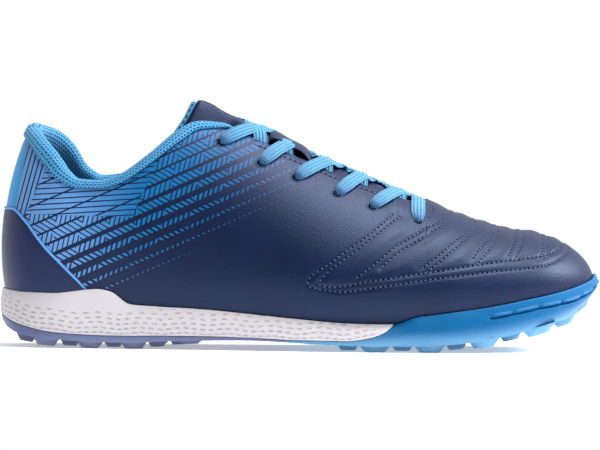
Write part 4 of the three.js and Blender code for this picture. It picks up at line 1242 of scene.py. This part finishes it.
def outsole_points(st):
    """Closed sections of the rubber: underside, side wall up to the foam or over the lip, and its top."""
    w = wall_shares()[None, :]
    wide = sole_wide(st)
    under = level("under", st.ridge_x + st.out_x * wide)
    split = level("split", st.ridge_x + st.out_x * wide)
    cover = smooth((split - st.lip) / 0.6)
    top = np.clip((split - SOLE_GAP - under) / (st.lip - under), 0.01, 1.0)
    shares = np.where(cover > 0, w * mix(top, 1, cover), w * top)
    r, z, lip_inner = sole_wall(st, shares)
    near = (z - z[:, -1:]) / 0.35
    r = r - 0.3 * np.exp(near) * (1 - cover)
    wall = in_space(st, r, z)
    bottom = []
    for f in (0.0, 0.25, 0.5, 0.7, 0.85):
        rb = f * (wide - 5.5)
        bottom.append(in_space(st, rb, level("under", st.ridge_x + st.out_x * rb)))
    for back in (5.5, 3.0, 1.6, 0.7):
        corner = r[:, :1] - back
        drop = 0.35 * (1 - back / 5.5) ** 3
        bottom.append(in_space(st, corner, level("under", st.ridge_x + st.out_x * corner) + drop))
    r_top, z_top = r[:, -1:], z[:, -1:]
    closing = []
    for k, turn in enumerate(np.linspace(0, np.pi, 7)[1:]):
        c = (r_top + lip_inner) / 2
        h = (r_top - lip_inner) / 2
        over = (c + h * np.cos(turn), z_top + 0.45 * np.sin(turn))
        plain = (r_top - (k + 1) * 1.2, z_top)
        closing.append(in_space(st, mix(plain[0], over[0], cover), mix(plain[1], over[1], cover)))
    seat_r = section_point(st, angle_at_height(st, st.floor + CLEARANCE))[0] + CLEARANCE
    deep = mix(z_top, st.floor, cover)
    closing.append(in_space(st, mix(r_top - 8.4, seat_r, cover), deep))
    centre = mix(level("split", st.ridge_x) - SOLE_GAP, level("floor", st.ridge_x), cover)
    closing.append(in_space(st, 0 * r_top, np.minimum(centre, level("floor", st.ridge_x))))
    return np.concatenate([*bottom, wall, *closing], 1)


def midsole_points(st):
    """Closed sections of the foam: its side from the rubber up to the lip, a rounded lip and the cup."""
    t = np.linspace(0, 1, 34)[None, :]
    wide = sole_wide(st)
    under = level("under", st.ridge_x + st.out_x * wide)
    split = level("split", st.ridge_x + st.out_x * wide)
    start = np.clip((split + SOLE_GAP - under) / (st.lip - under), 0, 0.995)
    r, z, lip_inner = sole_wall(st, mix(start, 1, t))
    r = r - 0.35 * np.exp(-(z - z[:, :1]) / 0.4)
    wall = in_space(st, r, z)
    above = z - z[:, :1]
    closing = []
    r_top, z_top = r[:, -1:], z[:, -1:]
    for turn in np.linspace(0, np.pi, 9)[1:]:
        c, h = (r_top + lip_inner) / 2, (r_top - lip_inner) / 2
        closing.append(in_space(st, c + h * np.cos(turn), z_top + 0.5 * np.sin(turn)))
    seat_r = section_point(st, angle_at_height(st, st.floor + CLEARANCE))[0] + CLEARANCE
    closing.append(in_space(st, seat_r, st.floor))
    closing.append(in_space(st, 0 * r_top, level("floor", st.ridge_x)))
    centre = np.minimum(level("split", st.ridge_x) + SOLE_GAP, level("floor", st.ridge_x) - 0.3)
    low = [in_space(st, 0 * r_top, centre), in_space(st, r[:, :1] - 6, z[:, :1])]
    points = np.concatenate([*low, wall, *closing], 1)
    v = np.concatenate([np.zeros((len(z), 2)), above, np.repeat(above[:, -1:], len(closing), 1)], 1)
    along = in_space(st, r[:, -1:], z_top)[:, 0]
    length = np.cumsum(np.linalg.norm(np.diff(along, axis=0, prepend=along[:1]), axis=-1)) - SOLE_LENGTH / 2
    return points, np.stack(np.broadcast_arrays(length[:, None], v), -1)


def half_ring(xs, end):
    """Stations from a joint on one side round an end of the shoe to the joint on the other side."""
    xs = xs[::-1] if end == "heel" else xs
    side = np.concatenate([-np.ones(len(xs)), np.ones(len(xs) - 1)])
    return station(side[:, None], np.concatenate([xs, xs[:-1][::-1]])[:, None])


def open_ring_piece(name, points, finishes, uv=None, extra=None, sharp=0.7):
    """Joins sections along a path and closes the two end sections with flat faces."""
    columns, count = points.shape[:2]
    faces = [list(f) for f in grid_faces(columns, count, wrap_columns=True)]
    faces.append(list(range(count)))
    faces.append([(columns - 1) * count + k for k in range(count)][::-1])
    flat = points.reshape(-1, 3)
    uvs = None if uv is None else uv.reshape(-1, 2)
    if extra is not None:
        more, more_faces = extra
        faces += [[int(k) + len(flat) for k in f] for f in more_faces]
        flat = np.concatenate([flat, more])
        if uvs is not None:
            uvs = np.concatenate([uvs, np.zeros((len(more), 2))])
    return piece(name, flat, [np.array(f) for f in faces], finishes, uv=uvs, sharp=sharp)


def lug_meshes(part):
    """Lugs as cut-corner blocks: a flared root, sloping sides, a chamfer and a flat tip at the ground."""
    corner = 0.45
    loop = np.array([(-1, -corner), (-corner, -1), (corner, -1), (1, -corner), (1, corner), (corner, 1),
                     (-corner, 1), (-1, corner)])
    points, faces = [], []
    for kind, across, first, last, count, long, wide, tall in LUGS:
        if kind != part:
            continue
        for at in np.linspace(first, last, count):
            x = place(at)
            side = np.sign(across) or 1.0
            middle = width("middle", x)
            y = middle + abs(across) * (outline(side, x) - middle)
            start = len(points) * 8
            rings = ((1.2, None, LUG_ROOT), (1.12, None, 0.1), (1.06, None, -0.3), (LUG_TAPER + 0.12, 0.4, 0),
                     (LUG_TAPER + 0.05, 0.0, 0), (LUG_TAPER * 0.8, 0.0, 0))
            for scale, over_tip, over_root in rings:
                px = x + loop[:, 0] * long * scale / 2
                py = y + loop[:, 1] * wide * scale / 2
                under = level("under", px)
                if over_tip is None:
                    pz = under + over_root
                else:
                    pz = np.maximum(0, under - tall * LUG_HEIGHT) + over_tip
                points.append(np.stack([px, py, pz], 1))
            for k in range(len(rings) - 1):
                base = start + 8 * k
                for i in range(8):
                    j = (i + 1) % 8
                    faces.append((base + i, base + j, base + 8 + j, base + 8 + i))
            faces.append(tuple(start + i for i in range(8)))
            faces.append(tuple(start + 8 * (len(rings) - 1) + i for i in range(8))[::-1])
    return np.concatenate(points), faces


class TURFSHOE_OT_sole(bpy.types.Operator):
    """The foam midsole, the two rubber outsoles with their lugs, and the insole"""

    bl_idname = "turfshoe.sole"
    bl_label = "Sole"

    def execute(self, context):
        xs = places(lambda x: np.where(x > 85, 0.9, 1.8))
        joint = OUTSOLE_JOINT
        heel_xs = np.append(xs[xs < joint - 1], joint - 0.02)
        fore_xs = np.insert(xs[xs > joint + 1], 0, joint + 0.02)
        slate = rubber("heel_rubber", colour("slate"), colour("slate_lit_from_floor"), 1.0, 9.0)
        obj = open_ring_piece(
            "outsole-heel-rubber", outsole_points(half_ring(heel_xs, "heel")), [slate],
            extra=lug_meshes("heel"),
        )
        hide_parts("outsole-heel")
        blue = rubber("forefoot_rubber", colour("rubber_blue"), colour("rubber_lit_from_floor"), 0.5, 12.5)
        obj = open_ring_piece(
            "outsole-forefoot-rubber", outsole_points(half_ring(fore_xs, "toe")), [blue],
            extra=lug_meshes("forefoot"),
        )
        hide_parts("outsole-forefoot")
        foam_xs = np.append(xs[xs < 44.0], [44.6, 45.1])
        points, uv = midsole_points(half_ring(foam_xs, "heel"))
        obj = open_ring_piece("midsole-foam", points, [foam()], uv=uv)
        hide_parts("midsole")
        self.insole(xs)
        return {"FINISHED"}

    def insole(self, xs):
        """A flat cushion on the cup's floor with a rounded, slightly raised rim."""
        st = ring(xs[::2])
        seat = section_point(st, angle_at_height(st, st.floor + CLEARANCE))[0] + CLEARANCE
        edge = seat - UPPER_WALL - 4 * CLEARANCE
        f = np.array([0, 0.3, 0.6, 0.8, 0.93, 1.0])[None, :]
        r = f * edge
        ground = mix(level("floor", st.ridge_x + st.out_x * r * 0.999), st.floor, f**2) + CLEARANCE
        bottom = in_space(st, r, ground)
        turn = np.linspace(0, np.pi / 2, 5)[None, 1:]
        rise = INSOLE_THICKNESS
        rim = in_space(st, edge - 1.5 + 1.5 * np.cos(turn), ground[:, -1:] + rise - 1.5 + 1.5 * np.sin(turn))
        top = in_space(st, r[:, :-1][:, ::-1], (ground + rise + 0.6 * f**4)[:, :-1][:, ::-1])
        points = np.concatenate([bottom, rim, top], 1)
        faces = grid_faces(len(points), points.shape[1], wrap_rows=True)
        blue = colour("insole_blue")
        # The insole's mesh holes get painted shade at half its blue
        cloth = mesh_cloth("insole_weave", blue, tuple(c * 0.5 for c in blue), 1.8)
        obj = piece("insole-cushion", points, faces, [cloth], uv=points[..., :2])
        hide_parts("insole")


# For each pair of holes from the toe end: how far its laces run towards the toe, as a share of the step
# to the pair ahead, and the depth of their dip at the ridge
LACES = table(
    "outer inner dip",
    (0.0, 0.0, 1.8),
    (0.8, 0.45, 3.0),
    (0.97, 0.5, 3.7),
    (1.06, 0.53, 3.7),
    (1.08, 0.52, 3.7),
    (1.15, 0.7, 1.5),
)


def lace_path(side, index, steps=80):
    """A lace from inside its hole, out over its rim, along its flap, over the ridge and under the edge
    of the other flap. Returns middles, directions across and up, and distances along."""
    x0, reach = place(EYELETS["at"][index]), eyelet_reach(side, index)
    forward = LACES["outer" if side < 0 else "inner"][index]
    pitch = (EYELETS["at"][index - 1] - EYELETS["at"][index]) * SOLE_LENGTH * forward
    goal = 1 + (throat_half(-side, x0 + pitch) + 3.0) / reach
    q = 1 - goal * np.linspace(0, 1, 400)
    x = x0 + pitch * (1 - q) * (1 + 0.25 * q)
    own = np.where(q >= 0, side, -side)
    st = station(own, x)
    angle = angle_at_reach(st, np.abs(q) * reach)
    base = on_last(st, angle)
    up = facing(st, np.minimum(angle, 1.45))
    return lay_lace(base, up, q, side, steps, True, LACES["dip"][index])


def eyelet_reach(side, index):
    st = station(side, place(EYELETS["at"][index]))
    return section_point(st, angle_at_height(st, EYELETS["high"][index] * INSTEP_HEIGHT))[0]


def lay_lace(base, up, q, side, steps, dive, dip):
    """Lifts a path on the last into a lace: out of the hole at its start, and down under the other
    flap at its end where dive is true, or into the other hole."""
    for _ in range(8):
        up = up.copy()
        up[1:-1] = (up[:-2] + up[1:-1] + up[2:]) / 3
    up = unit(up)
    d = np.concatenate([[0], np.cumsum(np.linalg.norm(np.diff(base, axis=0), axis=1))])
    total = d[-1]
    hidden = 3.4
    s = np.linspace(0, total + hidden, steps)
    start = 1.4
    run = np.where(s < hidden, start * smooth(s / hidden), s - hidden + start)
    run = np.minimum(run, total)

    def along(values):
        return np.stack([np.interp(run, d, values[:, k]) for k in range(values.shape[1])], 1)

    middle, normal = along(base), unit(along(up))
    lift = mix(-3.2, 1.25, smooth(s / (hidden + 1.2)))
    level_q = np.abs(np.interp(run, d, q))
    slack = dip * (1 - smooth((level_q - 0.1) / 0.3))
    if dive:
        left = total - run
        over = 0.9 if side < 0 else 0.0
        lift = lift + over * bell(level_q, 0.3) - slack
        lift = lift - (lift + 2.6) * smooth((9.5 - left) / 8.5)
    else:
        other = (total + hidden) - s
        lift = np.where(other < hidden + 1.2, mix(-3.2, 1.25, smooth(other / (hidden + 1.2))), lift) - slack
    middle = middle + normal * lift[:, None]
    ahead = unit(np.gradient(along(base), axis=0) + 1e-6 * np.gradient(base, axis=0).mean(0))
    flow = unit(base[12] - base[0])
    ahead = np.where((run < 0.6)[:, None], flow, ahead)
    if not dive:
        flow_end = unit(base[-1] - base[-13])
        ahead = np.where((run > total - 0.6)[:, None], flow_end, ahead)
    across = unit(np.cross(ahead, normal))
    travel = unit(np.gradient(middle, axis=0))
    face = unit(np.cross(across, travel))
    face *= np.sign((face * (normal - 0.6 * ahead)).sum(1, keepdims=True) + 1e-9)
    return middle, across, face, s, total + hidden


def lace_mesh(name, middle, across, face, s, total, both_holes):
    """The lace as a ribbed band that is narrow and folded where it leaves its hole."""
    from_hole = np.minimum(s, total - s) if both_holes else s
    grow = smooth((from_hole - 2.4) / 7)
    half = mix(1.9, 2.7, smooth((from_hole - 1.8) / 1.6)) + (LACE_WIDTH / 2 - 2.7) * grow
    fold = mix(1.3, 0.15, grow)[:, None]
    points, faces, a = strip(
        middle, half, LACE_THICKNESS, across, face,
        lambda a: fold * (0.6 - a**2) + 0.15 * np.cos(4 * np.pi * a), 24,
    )
    uv = np.stack(np.broadcast_arrays(a[None, :] * 0.5, s[:, None]), -1)
    cloth = finish_of("lace_weave", lace_cloth)
    obj = piece(name, points, faces, [cloth], uv=uv, merge=False)
    face_out(obj.data)
    return obj


class TURFSHOE_OT_laces(bpy.types.Operator):
    """The flat laces: a bar over the toe end and five crossings, each run into its hole"""

    bl_idname = "turfshoe.laces"
    bl_label = "Laces"

    def execute(self, context):
        reach = {side: eyelet_reach(side, 0) for side in (-1.0, 1.0)}
        q = np.linspace(-1, 1, 400)
        side = np.where(q < 0, -1.0, 1.0)
        st = station(side, np.full_like(q, place(EYELETS["at"][0])))
        r = np.abs(q) * np.where(side < 0, reach[-1.0], reach[1.0])
        angle = angle_at_reach(st, r)
        up = facing(st, np.minimum(angle, 1.45))
        parts = lay_lace(on_last(st, angle), up, q, -1.0, 110, False, LACES["dip"][0])
        obj = lace_mesh("lace-bar-cloth", *parts, True)
        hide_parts("lace-bar")
        for index in range(1, len(EYELETS["at"])):
            for side, word in ((-1.0, "outer"), (1.0, "inner")):
                obj = lace_mesh(f"lace-{index}-{word}", *lace_path(side, index), False)
                if side < 0:
                    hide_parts(f"lace-crossing-{index}")
        return {"FINISHED"}


def cast(tree, line, side):
    """The seam's points on the dressed surface, found by rays across the shoe from one side."""
    found, facing_out = [], []
    for x, z in line:
        start = Vector((x / 1000, side * 0.2, z / 1000))
        hit, normal, _, _ = tree.ray_cast(start, Vector((0, -side, 0)))
        if hit is not None and hit.y * side > -0.012:
            found.append(np.array(hit) * 1000)
            facing_out.append(np.array(normal))
    return np.array(found), np.array(facing_out)


def stitch_frames(points, normals, pitch):
    """Middles and directions of stitches at an even pitch along a path on a surface."""
    d = np.concatenate([[0], np.cumsum(np.linalg.norm(np.diff(points, axis=0), axis=1))])
    count = max(int(d[-1] / pitch), 1)
    at = (np.arange(count) + 0.5) * d[-1] / count

    def along(values, where):
        return np.stack([np.interp(where, d, values[:, k]) for k in range(3)], 1)

    middle = along(points, at)
    ahead = unit(along(points, at + 0.8) - along(points, at - 0.8))
    up = unit(along(normals, at))
    across = unit(np.cross(up, ahead))
    return middle, ahead, across, unit(np.cross(ahead, across))


def stitch_mesh(middle, ahead, across, up, long, wide, high):
    """Small closed beads: rings of five points that swell and shrink along the stitch."""
    t = np.array([-1, -0.7, 0.0, 0.7, 1])
    size = np.sqrt(1 - np.abs(t) ** 3)
    size[[0, -1]] = 0.25
    turn = np.linspace(0, 2 * np.pi, 6, endpoint=False)
    local = np.stack([
        np.repeat(t * long / 2, 6),
        np.outer(size, np.cos(turn)).ravel() * wide / 2,
        np.outer(size, np.sin(turn)).ravel() * high / 2,
    ], 1)
    points = middle[:, None] + local[None, :, :1] * ahead[:, None] + local[None, :, 1:2] * across[:, None]
    points = points + local[None, :, 2:] * up[:, None]
    faces = [tuple(f) for f in grid_faces(5, 6, wrap_columns=True)]
    faces += [tuple(range(6))[::-1], tuple(range(24, 30))]
    every = [np.array([int(k) + 30 * i for k in f]) for i in range(len(middle)) for f in faces]
    return points.reshape(-1, 3), every


class TURFSHOE_OT_stitches(bpy.types.Operator):
    """Stitching: the quilted vamp, the row along the lace opening, and painted shade in a needle hole after
    each stitch
    """

    bl_idname = "turfshoe.stitches"
    bl_label = "Stitches"

    def execute(self, context):
        upper = bpy.data.objects["upper-leather"]
        tree = BVHTree.FromObject(upper, bpy.context.evaluated_depsgraph_get())
        sets = []
        for side in (-1, 1):
            for seam in (*VAMP_SEAMS, PATCH_SEAM):
                points, normals = cast(tree, spline(np.array(seam, float), 30 * len(seam)), side)
                if len(points) > 8:
                    sets.append(stitch_frames(points, normals, STITCH_PITCH))
        sets += [self.throat_row(side) for side in (-1.0, 1.0)]
        middle, ahead, across, up = (np.concatenate([s[k] for s in sets]) for k in range(4))
        points, faces = stitch_mesh(middle, ahead, across, up, *STITCH_SIZE)
        yarn = thread("navy_thread", colour("thread_blue"))
        piece("seam-stitches", points, faces, [yarn], merge=False)
        # Dark beads sunk where the needle holes are: painted shade
        points, faces = stitch_mesh(middle + ahead * NEEDLE_SHIFT, ahead, across, up, *NEEDLE_SIZE)
        hole = Finish("needle_hole", tuple(c * 0.2 for c in colour("navy")), 0.9, Specular_IOR_Level=0.05)
        hole.rough(hole.noise(hole.position(), 2.0) * 0.2 + 0.75)
        piece("needle-holes", points, faces, [hole.material], merge=False)
        return {"FINISHED"}

    def throat_row(self, side):
        """A row that follows the lace opening a little outside its edge."""
        x = np.linspace(-22, 58, 400)
        st = station(side, x)
        edge = section_point(st, edge_angle(st))[0]
        angle = angle_at_reach(st, edge + THROAT_ROW)
        return stitch_frames(on_last(st, angle, -0.05), facing(st, angle), THROAT_PITCH)


class TURFSHOE_OT_eyelets(bpy.types.Operator):
    """The pressed rims of the punched lace holes"""

    bl_idname = "turfshoe.eyelets"
    bl_label = "Lace holes"

    def execute(self, context):
        middles, normals = eyelets()
        a, b = frames(normals)
        turn = np.linspace(0, 2 * np.pi, 32, endpoint=False)
        round_ = np.linspace(0, 2 * np.pi, 10, endpoint=False)
        radius = EYELET_RADIUS + 0.35 + 0.5 * np.cos(round_)
        height = 0.02 + 0.22 * np.sin(round_)
        circle = np.cos(turn)[None, :, None, None] * a[:, None, None]
        circle = circle + np.sin(turn)[None, :, None, None] * b[:, None, None]
        points = middles[:, None, None] + circle * radius[None, None, :, None]
        points = points + normals[:, None, None] * height[None, None, :, None]
        faces = grid_faces(32, 10, wrap_rows=True, wrap_columns=True)
        every = np.concatenate([faces + 320 * k for k in range(len(middles))])
        piece("lace-hole-rims", points, every, [navy_plain()], merge=False)
        return {"FINISHED"}


# Stage


class TURFSHOE_OT_stage(bpy.types.Operator):
    """A pale floor, soft lights and a camera at the photograph's angle"""

    bl_idname = "turfshoe.stage"
    bl_label = "Stage"

    def execute(self, context):
        scene = bpy.context.scene
        floor = Finish(
            "pale_floor", (0.93, 0.93, 0.94), 0.9, Emission_Color=(1, 1, 1, 1), Emission_Strength=0.35,
        )
        mesh = bpy.data.meshes.new("floor")
        turn = np.linspace(0, 2 * np.pi, 96, endpoint=False)
        rim = np.stack([FLOOR_RADIUS * np.cos(turn), FLOOR_RADIUS * np.sin(turn), 0 * turn], 1)
        mesh.from_pydata(rim.tolist(), [], [tuple(range(len(turn)))])
        mesh.materials.append(floor.material)
        obj = bpy.data.objects.new("floor", mesh)
        scene.collection.objects.link(obj)
        scene.view_settings.view_transform = "Standard"
        world = bpy.data.worlds.new("studio")
        scene.world = world
        world.use_nodes = True
        self.surroundings(world.node_tree)
        self.light("key", (0.6, -0.75, 1.2), (0.05, 0.0, 0.05), 0.6, 8.5)
        self.light("toe", (1.15, 0.1, 0.8), (0.09, 0.0, 0.05), 0.4, 24)
        self.light("top", (0.25, -0.05, 1.1), (0.02, 0.0, 0.05), 0.5, 15)
        self.camera(scene)
        return {"FINISHED"}

    def surroundings(self, tree):
        """White behind the shoe and dimmer in front of it."""
        links = tree.links
        way = tree.nodes.new("ShaderNodeTexCoord")
        parts = tree.nodes.new("ShaderNodeSeparateXYZ")
        ramp = tree.nodes.new("ShaderNodeMapRange")
        links.new(way.outputs["Generated"], parts.inputs[0])
        links.new(parts.outputs["Y"], ramp.inputs[0])
        for k, value in enumerate((-0.3, 0.5, 0.08, 1.0), 1):
            ramp.inputs[k].default_value = value
        background = tree.nodes["Background"]
        background.inputs[0].default_value = (1.0, 1.0, 1.0, 1)
        links.new(ramp.outputs[0], background.inputs[1])

    def light(self, name, where, target, size, power):
        data = bpy.data.lights.new(name, "AREA")
        data.size = size
        data.energy = power
        obj = bpy.data.objects.new(name, data)
        obj.location = where
        obj.rotation_euler = (Vector(target) - Vector(where)).to_track_quat("-Z", "Y").to_euler()
        bpy.context.scene.collection.objects.link(obj)

    def camera(self, scene):
        """A long lens from the outer side, a little above the ground, rolled as the photograph is."""
        settings = scene.turf_shoe
        away, lift, roll = settings.camera_distance, settings.camera_elevation, settings.camera_roll
        forward = np.array([0, np.cos(lift), -np.sin(lift)])
        right = np.array([1.0, 0, 0])
        up = np.cross(right, forward)
        turned = right * np.cos(roll) + up * np.sin(roll)
        top = up * np.cos(roll) - right * np.sin(roll)
        aim = np.array([0, 0, 0.0596])
        eye = aim - forward * away
        data = bpy.data.cameras.new("camera")
        data.sensor_width = 36
        data.lens = 36 * away / settings.frame_width
        data.clip_end = 50
        obj = bpy.data.objects.new("camera", data)
        rows = np.stack([turned, top, -forward], 1)
        matrix = Matrix.Identity(4)
        for i in range(3):
            for j in range(3):
                matrix[i][j] = rows[i, j]
            matrix[i][3] = eye[i]
        obj.matrix_world = matrix
        scene.collection.objects.link(obj)
        scene.camera = obj


def tint(name, text, value):
    return FloatVectorProperty(
        name=name, description=text, default=value, size=3, min=0, max=1, subtype="COLOR",
    )


class TurfShoeSettings(bpy.types.PropertyGroup):
    """Colours of the shoe and the camera's place."""

    navy: tint("Leather", "Navy of the upper", (0.0018, 0.0070, 0.033))
    overlay_navy: tint("Heel overlay", "Navy of the heel counter", (0.006, 0.012, 0.052))
    print_blue: tint("Print", "Blue of the printed bands", (0.002, 0.13, 0.34))
    # Painted shade: the pale print up the back of the heel where it turns from the light
    heel_back_shade_blue: tint("Heel strip", "Blue of the strip up the heel", (0.002, 0.26, 0.60))
    print_dark: tint("Dark print", "Blue of the print where it fades out", (0.003, 0.042, 0.13))
    print_pale: tint("Pale print", "Blue of the print at the heel", (0.12, 0.29, 0.60))
    mesh_blue: tint("Mesh", "Blue of the collar's mesh", (0.035, 0.29, 0.56))
    # Painted shade inside the mesh's holes
    mesh_hole_shade: tint("Mesh holes", "Blue inside the mesh's holes", (0.002, 0.045, 0.17))
    lace_blue: tint("Laces", "Blue of the laces", (0.05, 0.275, 0.49))
    piping_blue: tint("Piping", "Blue of the heel's piping", (0.10, 0.33, 0.75))
    foam_white: tint("Foam", "Off-white of the midsole", (0.565, 0.54, 0.575))
    slate: tint("Heel rubber", "Slate of the heel's outsole", (0.115, 0.135, 0.26))
    # Painted light from the floor on the heel rubber near the ground
    slate_lit_from_floor: tint("Heel rubber, low", "Slate near the ground", (0.23, 0.25, 0.38))
    rubber_blue: tint("Forefoot rubber", "Blue of the forefoot's outsole", (0.002, 0.095, 0.25))
    # Painted light from the floor on the forefoot rubber near the ground
    rubber_lit_from_floor: tint("Forefoot rubber, low", "Blue near the ground", (0.17, 0.38, 0.58))
    insole_blue: tint("Insole", "Blue of the insole", (0.03, 0.14, 0.38))
    thread_blue: tint("Thread", "Blue of the stitches", (0.045, 0.078, 0.20))
    camera_distance: FloatProperty(
        name="Distance", description="Camera to the shoe's middle", default=4.0, min=0.5, unit="LENGTH")
    camera_elevation: FloatProperty(
        name="Elevation", description="Camera's angle above level", default=0.026, subtype="ANGLE")
    camera_roll: FloatProperty(name="Roll", description="Camera's roll", default=0.0103, subtype="ANGLE")
    frame_width: FloatProperty(
        name="Frame", description="Width seen at the shoe's middle", default=0.291, min=0.05, unit="LENGTH")


OPERATORS = (
    TURFSHOE_OT_stage,
    TURFSHOE_OT_upper,
    TURFSHOE_OT_counter,
    TURFSHOE_OT_collar,
    TURFSHOE_OT_tongue,
    TURFSHOE_OT_sole,
    TURFSHOE_OT_laces,
    TURFSHOE_OT_eyelets,
    TURFSHOE_OT_stitches,
)


class TURFSHOE_PT_panel(bpy.types.Panel):
    """Buttons for each piece"""

    bl_label = "Turf Shoe"
    bl_idname = "TURFSHOE_PT_panel"
    bl_space_type = "VIEW_3D"
    bl_region_type = "UI"
    bl_category = "Turf Shoe"

    def draw(self, context):
        for operator in OPERATORS:
            self.layout.operator(operator.bl_idname)


CLASSES = (TurfShoeSettings, *OPERATORS, TURFSHOE_PT_panel)


def register():
    for kind in CLASSES:
        bpy.utils.register_class(kind)
    bpy.types.Scene.turf_shoe = PointerProperty(type=TurfShoeSettings)


def unregister():
    del bpy.types.Scene.turf_shoe
    for kind in reversed(CLASSES):
        bpy.utils.unregister_class(kind)


def main():
    register()
    for operator in OPERATORS:
        group, name = operator.bl_idname.split(".")
        getattr(getattr(bpy.ops, group), name)()


if __name__ == "__main__":
    main()
